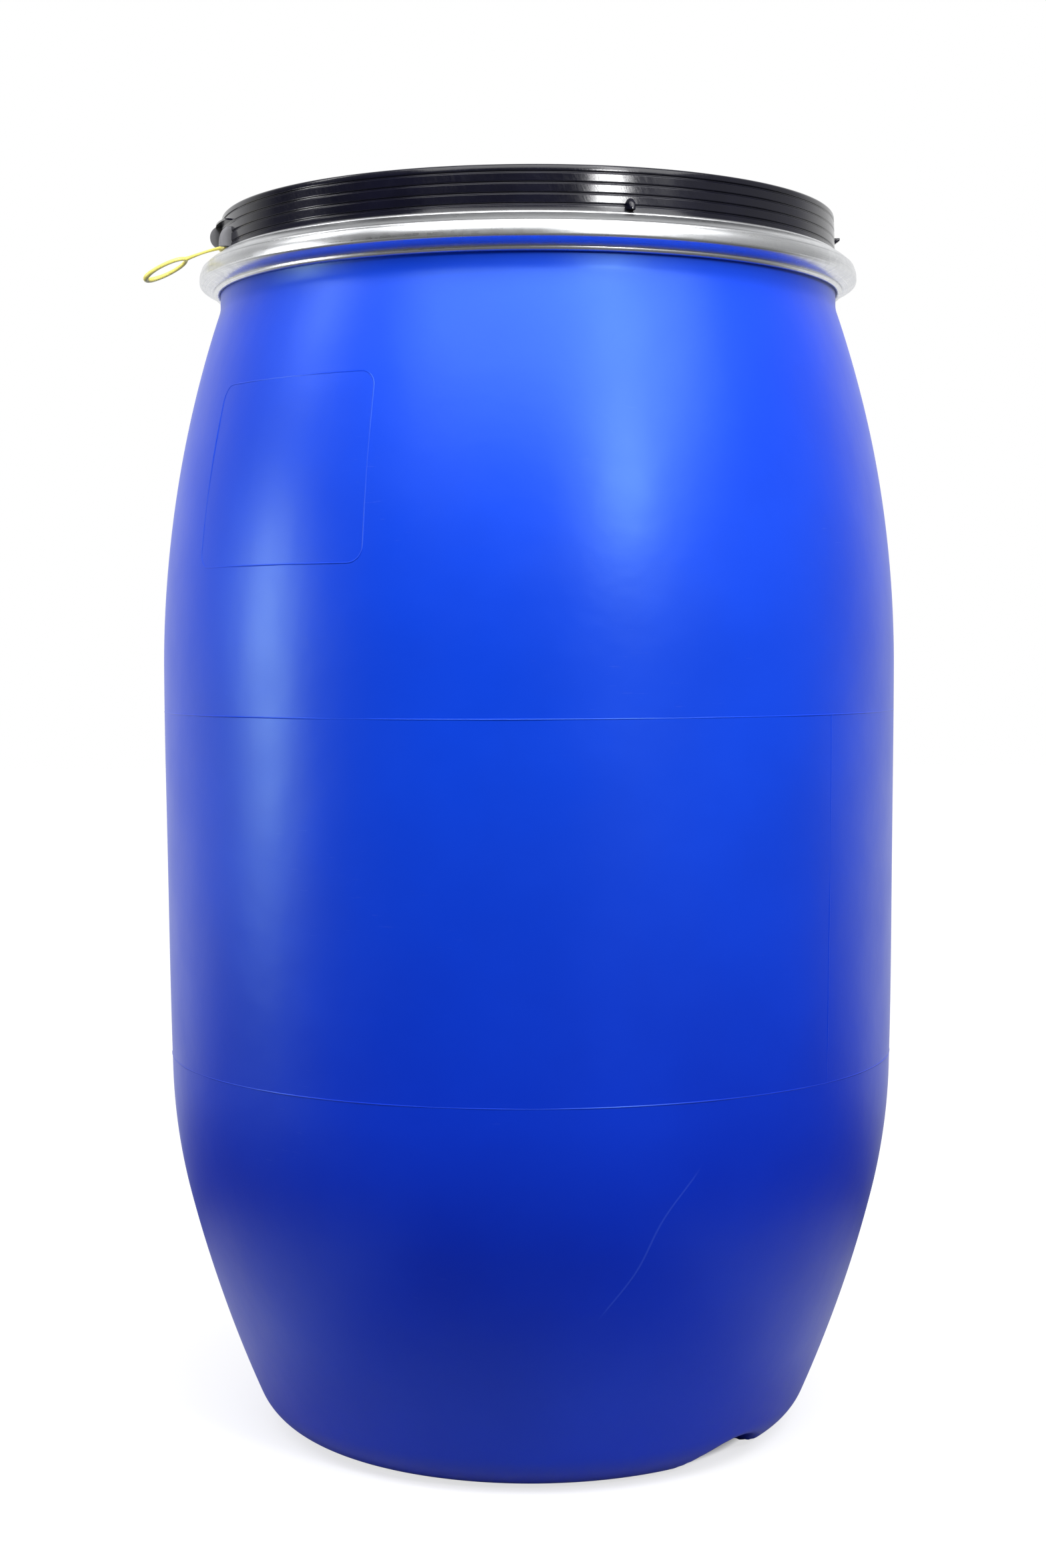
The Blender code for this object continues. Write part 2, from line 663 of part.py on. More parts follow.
def make_lever(material):
    """Curved channel, forked at its pivot and open towards the ring, with a finger lip."""
    start = PIVOT_ANGLE - along_ring(LEVER_TAIL)
    end = PIVOT_ANGLE + along_ring(LEVER_REACH)
    band = arc_band(LEVER_INNER, LEVER_OUTER, start, end)
    lever = plan_plate("closing_lever", [band], FLANGE_TOP, PARTS)
    lever.data.materials.append(material)
    spare = along_ring(BOOLEAN_MARGIN)
    inside = arc_band(LEVER_INNER - BOOLEAN_MARGIN, LEVER_BACK, start - spare, end + spare)
    boolean(lever, as_cutter(plan_plate("lever_inside", [inside], FLANGE_LOW, CUTTERS)), "DIFFERENCE")
    window_end = PIVOT_ANGLE + along_ring(LEVER_WINDOW)
    window = arc_band(LEVER_BACK - CLEAR, LEVER_OUTER + BOOLEAN_MARGIN, start - spare, window_end)
    boolean(lever, as_cutter(plan_plate("lever_window", [window], FLANGE_LOW, CUTTERS)), "DIFFERENCE")
    pivot = polar(PIVOT_RADIUS, PIVOT_ANGLE, MOUTH_HEIGHT)
    pin = polar(PIN_CENTRE_RADIUS, PIN_ANGLE, MOUTH_HEIGHT)
    for name, place in (("lever_pivot_holes", pivot), ("link_pin_holes", pin)):
        boolean(lever, upright_hole(name, place, PIN_RADIUS + CLEAR, 2 * FLANGE_TOP), "DIFFERENCE")
    boolean(lever, lever_lip(end), "UNION")
    return lever


def lever_lip(end):
    """Finger lip that leaves the back of the lever at a slant."""
    root = polar(LEVER_BACK + CLOSURE_SHEET / 4, end - along_ring(LEVER_LIP / 2))
    outward = polar(1.0, end)
    forward = Vector((0.0, 0.0, 1.0)).cross(outward)
    slant = forward * cos(LEVER_LIP_ANGLE) + outward * sin(LEVER_LIP_ANGLE)
    across = outward * cos(LEVER_LIP_ANGLE) - forward * sin(LEVER_LIP_ANGLE)
    tip = root + slant * LEVER_LIP
    thick = across * CLOSURE_SHEET
    corners = [point.xy for point in (root, tip, tip + thick, root + thick)]
    return as_cutter(plan_plate("lever_lip", [corners], EAR_TOP, CUTTERS))


def make_link(material):
    """Strap on edge, with an eye for its pin and a hook for the catch tab."""
    length = link_frame()[3]
    half = LINK_SHEET / 2
    opening = asin(half / LINK_EYE)
    steps = PIN_STEPS
    sweep = 2 * pi - 2 * opening
    outline = [
        (LINK_EYE * cos(opening + sweep * i / steps), LINK_EYE * sin(opening + sweep * i / steps))
        for i in range(steps + 1)
    ]
    leg_inner = length + CATCH_SHEET / 2 + HOOK_PLAY
    leg_outer = leg_inner + LINK_SHEET
    leg_foot = -half - HOOK_LEG
    outline += [(leg_inner, -half), (leg_inner, leg_foot), (leg_outer, leg_foot), (leg_outer, half)]
    eye = circle_points((0.0, 0.0), PIN_RADIUS + CLEAR, PIN_STEPS)
    link = plan_plate("hook_link", [in_link_frame(outline), in_link_frame(eye)], LINK_HALF_HEIGHT, PARTS)
    link.data.materials.append(material)
    return link


def headed_pin_profile(low, high):
    """Half-section of a pin with a head outside each end of its grip."""
    head, edge = PIN_HEAD_HEIGHT, PIN_HEAD_RADIUS
    return [
        (0.0, high + head),
        (edge * 0.7, high + head),
        (edge, high + head * 0.4),
        (edge, high),
        (PIN_RADIUS, high),
        (PIN_RADIUS, low),
        (edge, low),
        (edge, low - head * 0.4),
        (edge * 0.7, low - head),
        (0.0, low - head),
    ]


def make_pin(name, radius, angle, low, high, material):
    pin = turned_part(name, headed_pin_profile(low - CLEAR, high + CLEAR), material, steps=PIN_STEPS)
    pin.location = polar(radius, angle, MOUTH_HEIGHT)
    return pin


def make_rivet(name, angle, material):
    """Dome-headed rivet through a plate and the ring's wall, flush inside."""
    seat = PLATE_OUTER + CLEAR
    tail = RING_RADIUS - RING_SHEET - seat
    head, edge = RIVET_HEAD_HEIGHT, RIVET_HEAD_RADIUS
    profile = [(edge * sin(lean), head * cos(lean)) for lean in (0.0, radians(35), radians(65), pi / 2)]
    profile += [(RIVET_RADIUS, 0.0), (RIVET_RADIUS, tail), (0.0, tail)]
    rivet = turned_part(name, profile, material, steps=PIN_STEPS)
    rivet.location = polar(seat, angle, MOUTH_HEIGHT)
    rivet.rotation_euler = (0.0, pi / 2, angle)
    return rivet


# Pull seal

def tube_mesh(name, points, thickness, cyclic):
    curve = bpy.data.curves.new(name, "CURVE")
    curve.dimensions = "3D"
    curve.bevel_depth = thickness / 2
    curve.bevel_resolution = 2
    curve.use_fill_caps = True
    spline = curve.splines.new("POLY")
    spline.points.add(len(points) - 1)
    spline.use_cyclic_u = cyclic
    for point, place in zip(spline.points, points):
        point.co = (*place, 1.0)
    return welded_mesh(name, curve)


def seal_frame():
    """Place of the seal: X along its stem, Y across its loop."""
    ring_top = MOUTH_HEIGHT + lip_rise(LIP_EDGE)
    root = polar(NECK_RADIUS + SEAL_ROOT_STANDOFF, SEAL_ROOT_ANGLE, ring_top + SEAL_ROOT_RISE)
    out = SEAL_ROOT_ANGLE - SEAL_TURN
    stem = Vector((cos(out) * cos(SEAL_DROOP), sin(out) * cos(SEAL_DROOP), -sin(SEAL_DROOP)))
    level = Vector((0.0, 0.0, 1.0)).cross(stem).normalized()
    across = Matrix.Rotation(SEAL_TWIST, 3, stem) @ level
    frame = Matrix((stem, across, stem.cross(across))).transposed().to_4x4()
    frame.translation = root
    return frame


def make_seal(material):
    frame = seal_frame()
    half, hang = SEAL_LOOP_LENGTH / 2, SEAL_LOOP_DROOP
    loop = [
        (SEAL_STEM + half * x * cos(hang), SEAL_LOOP_WIDTH / 2 * y, -half * x * sin(hang))
        for x, y in circle_points((1.0, 0.0), 1.0, 24)
    ]
    stem = [(0.0, 0.0, 0.0), (SEAL_STEM + SEAL_STEM_THICKNESS / 8, 0.0, 0.0)]
    seal = add_part("security_seal", tube_mesh("security_seal", loop, SEAL_LOOP_THICKNESS, True), material)
    seal.data.transform(frame)
    smooth(seal)
    shank_mesh = tube_mesh("seal_stem", stem, SEAL_STEM_THICKNESS, False)
    shank = as_cutter(add_object("seal_stem", shank_mesh, CUTTERS))
    shank.data.transform(frame)
    boolean(seal, shank, "UNION")
    boolean(seal, seal_bar(frame.translation), "UNION")
    return seal


def seal_bar(root):
    """Cross-bar of the seal, which lies along the skirt between a ring nose and the cheek."""
    nose_face = SIDE_NOSE_ANGLE - (NOSE_WIDTH / 2 + CLEAR) / NECK_RADIUS
    half = nose_face - SEAL_ROOT_ANGLE
    reach = root.xy.length
    angles = [SEAL_ROOT_ANGLE + half * share for share in (-1.0, -0.5, 0.0, 0.5, 1.0)]
    points = [polar(reach, angle, root.z) for angle in angles]
    return as_cutter(add_object("seal_bar", tube_mesh("seal_bar", points, SEAL_BAR, False), CUTTERS))


# Assembly

clear_scene()
PARTS = new_collection("open_head_drum")
CUTTERS = new_collection("open_head_drum_cutters")

BLUE_PLASTIC = new_material("blue_plastic", (0.012, 0.075, 0.62), 0.35)
BLACK_PLASTIC = new_material("black_plastic", (0.012, 0.013, 0.020), 0.40)
GREY_RUBBER = new_material("grey_rubber", (0.10, 0.10, 0.10), 0.80)
GALVANISED_STEEL = new_material("galvanised_steel", (0.66, 0.68, 0.70), 0.25, 1.0)
YELLOW_PLASTIC = new_material("yellow_plastic", (0.85, 0.70, 0.05), 0.45)

make_body(BLUE_PLASTIC)

lid_axis = new_axis("lid_lift_axis", (0.0, 0.0, MOUTH_HEIGHT))
lid_pieces = [make_lid(BLACK_PLASTIC), make_gasket(GREY_RUBBER), make_seal(YELLOW_PLASTIC)]
lid_pieces.append(make_ring(GALVANISED_STEEL, bracket_rivet_angles() + catch_rivet_angles()))
lid_pieces += [make_lever_bracket(GALVANISED_STEEL), make_catch(GALVANISED_STEEL)]
for number, rivet_angle in enumerate(bracket_rivet_angles(), start=1):
    lid_pieces.append(make_rivet(f"bracket_rivet_{number}", rivet_angle, GALVANISED_STEEL))
for number, rivet_angle in enumerate(catch_rivet_angles(), start=1):
    lid_pieces.append(make_rivet(f"catch_rivet_{number}", rivet_angle, GALVANISED_STEEL))
for side, low, high in (("upper", EAR_HALF_GAP, FLANGE_TOP), ("lower", -FLANGE_TOP, -EAR_HALF_GAP)):
    pivot_name = f"lever_pivot_{side}"
    lid_pieces.append(make_pin(pivot_name, PIVOT_RADIUS, PIVOT_ANGLE, low, high, GALVANISED_STEEL))
for piece in lid_pieces:
    carry(piece, lid_axis)

lever_axis = new_axis("lever_swing_axis", polar(PIVOT_RADIUS, PIVOT_ANGLE, MOUTH_HEIGHT))
lever_pieces = [make_lever(GALVANISED_STEEL)]
pin_grip = (PIN_CENTRE_RADIUS, PIN_ANGLE, -FLANGE_TOP, FLANGE_TOP)
lever_pieces.append(make_pin("link_pin", *pin_grip, GALVANISED_STEEL))
for piece in lever_pieces:
    carry(piece, lever_axis)

link_axis = new_axis("link_swing_axis", polar(PIN_CENTRE_RADIUS, PIN_ANGLE, MOUTH_HEIGHT))
carry(make_link(GALVANISED_STEEL), link_axis)
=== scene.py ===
# %% [markdown]
# # An open-head plastic drum
# A drum of about 120 litres: a blue blow-moulded body, a black lid that drops into its mouth, a steel
# ring that clamps the two together, and a yellow pull seal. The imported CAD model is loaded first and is
# never changed. Each step then makes one piece of the finished drum in the same frame, in metres, with
# the drum's axis on Z and the front towards -Y.

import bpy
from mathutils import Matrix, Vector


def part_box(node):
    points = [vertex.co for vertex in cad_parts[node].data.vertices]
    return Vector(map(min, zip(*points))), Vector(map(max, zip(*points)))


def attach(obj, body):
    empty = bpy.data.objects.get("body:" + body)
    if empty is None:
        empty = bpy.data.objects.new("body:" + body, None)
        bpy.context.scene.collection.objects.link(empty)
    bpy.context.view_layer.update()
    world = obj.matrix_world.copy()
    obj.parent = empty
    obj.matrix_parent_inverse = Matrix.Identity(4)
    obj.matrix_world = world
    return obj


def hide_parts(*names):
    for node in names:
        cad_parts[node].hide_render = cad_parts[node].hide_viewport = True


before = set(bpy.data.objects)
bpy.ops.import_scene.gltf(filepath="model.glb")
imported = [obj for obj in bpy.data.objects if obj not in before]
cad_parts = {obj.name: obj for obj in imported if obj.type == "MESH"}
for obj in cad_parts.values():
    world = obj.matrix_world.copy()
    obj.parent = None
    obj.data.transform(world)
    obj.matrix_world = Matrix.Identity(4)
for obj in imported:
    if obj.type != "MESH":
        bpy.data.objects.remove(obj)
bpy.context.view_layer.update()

# %% [markdown]
# ## Sizes that the frame gives
# The visual pieces have to sit exactly where the solids are, so the main radii and heights are read
# from the boxes of the CAD nodes. Typing them again would work too, but then a later change of the CAD
# model would leave the looks behind.

# %% Main sizes
from math import asin, atan2, cos, degrees, pi, radians, sin, tan

import bmesh
import bpy
import numpy as np
from mathutils import Matrix, Vector

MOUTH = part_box("drum_body")[1].z
BODY_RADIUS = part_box("drum_body")[1].x
LID_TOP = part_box("drum_lid")[1].z
RING_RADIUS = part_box("ring_band")[1].x
NECK_RADIUS = BODY_RADIUS - 0.0392
FLANGE_RADIUS = NECK_RADIUS + 0.0114
MOUTH_RADIUS = NECK_RADIUS - 0.0048
NECK_FOOT = MOUTH - 0.0222
FOOT_RADIUS = BODY_RADIUS - 0.0948
CLEAR = 0.0003


def polar(radius, angle, height=0.0):
    return Vector((radius * cos(angle), radius * sin(angle), height))


print(f"mouth at {MOUTH:.4f}, body radius {BODY_RADIUS:.4f}, ring radius {RING_RADIUS:.4f}")

# %% [markdown]
# ## Small tools for node trees
# Shader trees and Geometry Nodes trees are built alike: a node is added, its settings are set, and each
# input gets a number or a link. A few short helpers keep the recipes below readable. Building the trees
# by hand in the node editor would look the same, but could not be rerun.

# %% Helpers for all node trees
def add(tree, kind, inputs=None, **settings):
    """A new node, with its settings, and its inputs set or linked."""
    node = tree.nodes.new(kind)
    for key, value in settings.items():
        setattr(node, key, value)
    for socket, source in (inputs or {}).items():
        join(tree, node.inputs[socket], source)
    return node


def join(tree, socket, source):
    if isinstance(source, bpy.types.NodeSocket):
        tree.links.new(source, socket)
    else:
        socket.default_value = source


def calc(tree, operation, *terms):
    node = add(tree, "ShaderNodeMath", operation=operation)
    for socket, term in zip(node.inputs, terms):
        join(tree, socket, term)
    return node.outputs[0]


def times(tree, first, second):
    return calc(tree, "MULTIPLY", first, second)


def plus(tree, first, second):
    return calc(tree, "ADD", first, second)


def split(tree, vector):
    return add(tree, "ShaderNodeSeparateXYZ", {"Vector": vector}).outputs


def combined(tree, x, y, z):
    return add(tree, "ShaderNodeCombineXYZ", {"X": x, "Y": y, "Z": z}).outputs["Vector"]


def from_axis(tree, x, y):
    return calc(tree, "SQRT", plus(tree, calc(tree, "POWER", x, 2.0), calc(tree, "POWER", y, 2.0)))


print("node helpers ready")

# %% [markdown]
# ## Patterns for the finishes
# Moulded plastic and rolled steel have no printed pattern, but they are never one flat colour. All
# patterns here read Object coordinates, so they stay on the piece when it moves. Some have to run round
# the drum: for those the coordinates are unrolled into arc length, height and radius, with the join at
# the back, where nobody looks first.

# %% Helpers for the finishes
def new_finish(name, colour, roughness, **sockets):
    """A material with the constant values set on the shader itself."""
    made = bpy.data.materials.new(name)
    made.use_nodes = True
    shader = made.node_tree.nodes["Principled BSDF"]
    shader.inputs["Base Color"].default_value = (*colour, 1.0)
    shader.inputs["Roughness"].default_value = roughness
    for socket, value in sockets.items():
        shader.inputs[socket.replace("_", " ")].default_value = value
    return made, made.node_tree, shader


def object_point(tree):
    return add(tree, "ShaderNodeTexCoord").outputs["Object"]


def unrolled(tree):
    """Arc length round the drum at its widest, height, and radius."""
    x, y, z = split(tree, object_point(tree))
    angle = calc(tree, "ARCTAN2", x, times(tree, y, -1.0))
    return times(tree, angle, BODY_RADIUS), z, from_axis(tree, x, y)


def stretched(tree, point, scale):
    return add(tree, "ShaderNodeMapping", {"Vector": point, "Scale": scale}).outputs["Vector"]


def noise(tree, point, scale, detail=3.0, roughness=0.5, distortion=0.0):
    given = {"Vector": point, "Scale": scale, "Detail": detail, "Roughness": roughness}
    given["Distortion"] = distortion
    return add(tree, "ShaderNodeTexNoise", given).outputs["Fac"]


def spread(tree, value, low, high, to_low=0.0, to_high=1.0):
    given = {0: value, 1: low, 2: high, 3: to_low, 4: to_high}
    return add(tree, "ShaderNodeMapRange", given, interpolation_type="SMOOTHSTEP").outputs[0]


def blend_colour(tree, share, first, second):
    node = add(tree, "ShaderNodeMix", data_type="RGBA")
    join(tree, node.inputs["Factor"], share)
    for socket, colour in ((6, first), (7, second)):
        is_link = isinstance(colour, bpy.types.NodeSocket)
        join(tree, node.inputs[socket], colour if is_link else (*colour, 1.0))
    return node.outputs[2]


def bump(tree, height, strength, distance, normal=None):
    given = {"Height": height, "Strength": strength, "Distance": distance}
    if normal is not None:
        given["Normal"] = normal
    return add(tree, "ShaderNodeBump", given).outputs["Normal"]


def paint(tree, shader, colour, roughness, normal):
    for socket, source in (("Base Color", colour), ("Roughness", roughness), ("Normal", normal)):
        join(tree, shader.inputs[socket], source)


print("finish helpers ready")

# %% [markdown]
# ## Blue polyethylene
# The body is blow-moulded: hot plastic is blown against a cold, slightly rough mould. That leaves a dull
# gloss with a soft orange peel, slow changes of tone where the wall was thicker, and, after some use,
# pale scuffs. The blue is also painted deeper from half its height down to the foot: that is painted
# shade, which stands in for the light falling off low on the wall. A noise varies the tone. Two bumps of
# different size give the peel. Scuffs are thin streaks of noise that only show in patches, and one long
# fine scratch wanders up the lower wall.

# %% Blue polyethylene
blue, tree, shader = new_finish("blue_polyethylene", (0.0010, 0.044, 0.63), 0.37, Specular_IOR_Level=0.44)
shader.inputs["Specular Tint"].default_value = (0.53, 1.0, 1.0, 1.0)
arc, height, radius = unrolled(tree)
sheet = combined(tree, arc, height, radius)
tone = spread(tree, noise(tree, object_point(tree), 7.0, detail=4.0), 0.3, 0.7)
# Painted shade: below 0.50 m the blue is blended towards a deeper one, fully so under 0.08 m.
shaded_blue_and_bead_width = blend_colour(tree, tone, (0.0003, 0.015, 0.46), (0.0004, 0.019, 0.51))
upper_blue = blend_colour(tree, tone, (0.0007, 0.041, 0.60), (0.0013, 0.048, 0.67))
colour = blend_colour(tree, spread(tree, height, 0.08, 0.50), shaded_blue_and_bead_width, upper_blue)

patch = spread(tree, noise(tree, sheet, 9.0, detail=2.0), 0.56, 0.72)
streak = spread(tree, noise(tree, stretched(tree, sheet, (70.0, 900.0, 1.0)), 1.0, detail=5.0), 0.66, 0.80)
scuff = times(tree, patch, streak)
colour = blend_colour(tree, times(tree, scuff, 0.20), colour, (0.16, 0.26, 0.80))

SCRATCH_FOOT = -0.0285
SCRATCH_LEAN = 0.62
SCRATCH_LOW, SCRATCH_HIGH = 0.118, 0.215
wander = times(tree, calc(tree, "SINE", times(tree, height, 95.0)), 0.0022)
path = plus(tree, times(tree, height, SCRATCH_LEAN), wander)
off = calc(tree, "ABSOLUTE", calc(tree, "SUBTRACT", calc(tree, "SUBTRACT", arc, path), SCRATCH_FOOT))
line = spread(tree, off, 0.0003, 0.0010, 1.0, 0.0)
above = spread(tree, height, SCRATCH_LOW, SCRATCH_LOW + 0.012)
below = spread(tree, height, SCRATCH_HIGH - 0.015, SCRATCH_HIGH, 1.0, 0.0)
scratch = times(tree, line, times(tree, above, below))
colour = blend_colour(tree, times(tree, scratch, 0.15), colour, (0.10, 0.20, 0.80))

dull = calc(tree, "MULTIPLY_ADD", noise(tree, object_point(tree), 24.0, detail=2.0), 0.08, 0.33)
slow = bump(tree, noise(tree, object_point(tree), 45.0, detail=2.0), 0.10, 0.002)
peel = bump(tree, noise(tree, object_point(tree), 620.0), 0.06, 0.0003, slow)
paint(tree, shader, colour, dull, bump(tree, scratch, 0.04, 0.0004, peel))
print("made", blue.name)

# %% [markdown]
# ## Black lid plastic
# The lid is moulded from black polyethylene with more gloss than the body. Where the studio lamp falls
# on its skirt the reflection breaks up into slanting flecks, because the flow of the melt leaves a faint
# relief. A noise stretched along a slant gives those flecks, and a finer one roughens them. The small
# lugs on the skirt come from pockets of the mould that nobody polishes, so they get a rougher copy; its
# pale grey is painted light, as the lugs are the same black plastic as the lid.

# %% Black lid plastic
black, tree, shader = new_finish("black_lid_plastic", (0.002, 0.002, 0.008), 0.16, Specular_IOR_Level=0.44)
arc, height, radius = unrolled(tree)
slant = plus(tree, arc, times(tree, height, 0.55))
flow = combined(tree, slant, height, radius)
fleck = noise(tree, stretched(tree, flow, (900.0, 200.0, 300.0)), 1.0, detail=4.0, roughness=0.6)
cloud = spread(tree, noise(tree, object_point(tree), 30.0), 0.3, 0.7)
shade = blend_colour(tree, cloud, (0.0012, 0.0012, 0.006), (0.0026, 0.0026, 0.010))
gloss = plus(tree, spread(tree, fleck, 0.35, 0.7, 0.13, 0.19), times(tree, cloud, 0.02))
grain = bump(tree, noise(tree, object_point(tree), 1500.0, detail=2.0), 0.03, 0.0001)
paint(tree, shader, shade, gloss, bump(tree, fleck, 0.09, 0.0002, grain))

# Painted light: the lugs are the same black plastic as the lid, made pale grey so that they look lit.
painted_light_lug, tree, shader = new_finish("painted_light_lug_plastic", (0.190, 0.190, 0.204), 0.50, Specular_IOR_Level=0.45)
grain = noise(tree, object_point(tree), 800.0)
shade = blend_colour(tree, grain, (0.170, 0.170, 0.184), (0.210, 0.210, 0.224))
paint(tree, shader, shade, spread(tree, grain, 0.3, 0.7, 0.44, 0.56), bump(tree, grain, 0.10, 0.0002))
print("made", black.name, "and", painted_light_lug.name)

# %% [markdown]
# ## Galvanised steel
# The ring is roll-formed from bright zinc-coated strip. Rolling leaves very fine lines along the strip,
# and the zinc a faint spangle. The lines are noise that is long round the drum and short across it, and
# they drive the roughness more than the colour, as on real metal.

# %% Galvanised steel
steel, tree, shader = new_finish("galvanised_steel", (0.66, 0.67, 0.69), 0.26, Metallic=1.0)
arc, height, radius = unrolled(tree)
rolled = combined(tree, arc, height, radius)
lines = noise(tree, stretched(tree, rolled, (14.0, 2600.0, 2600.0)), 1.0, detail=4.0, roughness=0.6)
spangle = add(tree, "ShaderNodeTexVoronoi", {"Vector": object_point(tree), "Scale": 260.0}).outputs["Color"]
zinc = split(tree, spangle)["X"]
mixed = plus(tree, times(tree, lines, 0.85), times(tree, zinc, 0.15))
bright = blend_colour(tree, spread(tree, mixed, 0.25, 0.75), (0.60, 0.61, 0.63), (0.72, 0.73, 0.74))
paint(tree, shader, bright, spread(tree, mixed, 0.25, 0.75, 0.36, 0.26), bump(tree, lines, 0.03, 0.0003))
print("made", steel.name)

# %% [markdown]
# ## Rubber and yellow plastic
# The gasket is foamed rubber with fine pores. The seal is a thin moulding of soft yellow plastic that
# looks pale along its edges, which a little sheen gives, and its tone varies along the flow. Letting
# light through would be nearer to the plastic, but on so thin a cord it turns to dark dots.

# %% Gasket rubber and seal plastic
rubber, tree, shader = new_finish("gasket_rubber", (0.10, 0.10, 0.10), 0.80, Specular_IOR_Level=0.30)
pores = noise(tree, object_point(tree), 900.0, roughness=0.6)
shade = blend_colour(tree, pores, (0.07, 0.07, 0.07), (0.14, 0.14, 0.14))
paint(tree, shader, shade, spread(tree, pores, 0.3, 0.7, 0.86, 0.72), bump(tree, pores, 0.35, 0.0005))

yellow, tree, shader = new_finish(
    "seal_plastic", (0.92, 0.82, 0.18), 0.30, Sheen_Weight=0.5, Sheen_Roughness=0.4
)
shader.inputs["Sheen Tint"].default_value = (1.0, 0.92, 0.40, 1.0)
flow = noise(tree, object_point(tree), 160.0)
shade = blend_colour(tree, flow, (0.90, 0.79, 0.15), (0.95, 0.86, 0.22))
skin = bump(tree, noise(tree, object_point(tree), 1400.0), 0.08, 0.0003)
paint(tree, shader, shade, spread(tree, flow, 0.3, 0.7, 0.24, 0.34), skin)
print("made", rubber.name, "and", yellow.name)

# %% [markdown]
# ## Geometry Nodes for the pieces
# Body, lid, gasket and ring are all one profile turned round an axis, so one tree makes them: it lays a
# grid with a column for each step of the turn, reads the profile's points into every column, and bends
# the grid round Z. A Screw modifier could do the same, but the tree also makes a part turn, which the
# open ring needs. The result is turned into a plain mesh, and the guide that carried the tree is removed.

# %% A tree that turns a profile
def new_tree(name, sizes):
    tree = bpy.data.node_groups.new(name, "GeometryNodeTree")
    tree.interface.new_socket("Geometry", in_out="INPUT", socket_type="NodeSocketGeometry")
    for label, kind in sizes:
        tree.interface.new_socket(label, in_out="INPUT", socket_type="NodeSocket" + kind)
    tree.interface.new_socket("Geometry", in_out="OUTPUT", socket_type="NodeSocketGeometry")
    return tree, tree.nodes.new("NodeGroupInput").outputs, tree.nodes.new("NodeGroupOutput").inputs


def close_tree(tree, made, finish, result):
    """The common end of every tree: plain faces, smooth, with their finish."""
    plain = add(tree, "GeometryNodeRealizeInstances", {"Geometry": made}).outputs["Geometry"]
    smooth = add(tree, "GeometryNodeSetShadeSmooth", {"Geometry": plain}).outputs["Geometry"]
    painted = add(tree, "GeometryNodeSetMaterial", {"Geometry": smooth, "Material": finish})
    join(tree, result["Geometry"], painted.outputs["Geometry"])


turned, given, result = new_tree(
    "turned_piece", [("Columns", "Int"), ("Start", "Float"), ("Sweep", "Float"), ("Finish", "Material")]
)
rows = add(turned, "GeometryNodeAttributeDomainSize", {"Geometry": given["Geometry"]}).outputs["Point Count"]
grid = add(turned, "GeometryNodeMeshGrid", {"Vertices X": given["Columns"], "Vertices Y": rows})
index = add(turned, "GeometryNodeInputIndex").outputs["Index"]
column = calc(turned, "FLOOR", calc(turned, "DIVIDE", plus(turned, index, 0.5), rows))
row = calc(turned, "SUBTRACT", index, times(turned, column, rows))
read = add(turned, "GeometryNodeSampleIndex", data_type="FLOAT_VECTOR")
join(turned, read.inputs["Geometry"], given["Geometry"])
join(turned, read.inputs["Value"], add(turned, "GeometryNodeInputPosition").outputs["Position"])
join(turned, read.inputs["Index"], row)
reach, _, level = split(turned, read.outputs["Value"])
share = calc(turned, "DIVIDE", column, calc(turned, "SUBTRACT", given["Columns"], 1.0))
angle = plus(turned, given["Start"], times(turned, share, given["Sweep"]))
across = times(turned, reach, calc(turned, "COSINE", angle))
deep = times(turned, reach, calc(turned, "SINE", angle))
place = combined(turned, across, deep, level)
bent = add(turned, "GeometryNodeSetPosition", {"Geometry": grid.outputs["Mesh"], "Position": place})
welded = add(turned, "GeometryNodeMergeByDistance", {"Geometry": bent.outputs["Geometry"], "Distance": 2e-6})
close_tree(turned, welded.outputs["Geometry"], given["Finish"], result)
print("tree", turned.name, "with", len(turned.nodes), "nodes")

# %% [markdown]
# ## From a tree to a piece
# A guide mesh carries the tree as a modifier for one evaluation only. Its inputs are set by the sockets'
# identifiers. The plain mesh is then welded, the open ends of a part turn are closed, the faces are
# turned outwards, and edges sharper than a given angle are kept crisp.

# %% Bake a guide into a piece
def plain_mesh(name, points, edges=(), faces=()):
    mesh = bpy.data.meshes.new(name)
    mesh.from_pydata(points, edges, faces)
    return mesh


def new_object(name, data):
    made = bpy.data.objects.new(name, data)
    bpy.context.scene.collection.objects.link(made)
    return made


def bake(name, guide, tree, sizes, crisp=radians(40)):
    carrier = new_object(name + "_guide", guide)
    step = carrier.modifiers.new("recipe", "NODES")
    step.node_group = tree
    for item in tree.interface.items_tree:
        if item.in_out == "INPUT" and item.name in sizes:
            step[item.identifier] = sizes[item.name]
    seen = carrier.evaluated_get(bpy.context.evaluated_depsgraph_get())
    mesh = bpy.data.meshes.new_from_object(seen)
    bpy.data.objects.remove(carrier, do_unlink=True)
    return as_piece(name, mesh, crisp)


def as_piece(name, mesh, crisp=radians(40)):
    """A closed piece at the origin, with its faces outwards."""
    shape = bmesh.new()
    shape.from_mesh(mesh)
    bmesh.ops.remove_doubles(shape, verts=shape.verts, dist=2e-6)
    bmesh.ops.dissolve_degenerate(shape, edges=shape.edges, dist=1e-7)
    open_edges = [edge for edge in shape.edges if edge.is_boundary]
    if open_edges:
        bmesh.ops.holes_fill(shape, edges=open_edges)
    bmesh.ops.recalc_face_normals(shape, faces=shape.faces)
    shape.to_mesh(mesh)
    shape.free()
    mesh.name = name
    mesh.shade_smooth()
    mesh.set_sharp_from_angle(angle=crisp)
    return new_object(name, mesh)


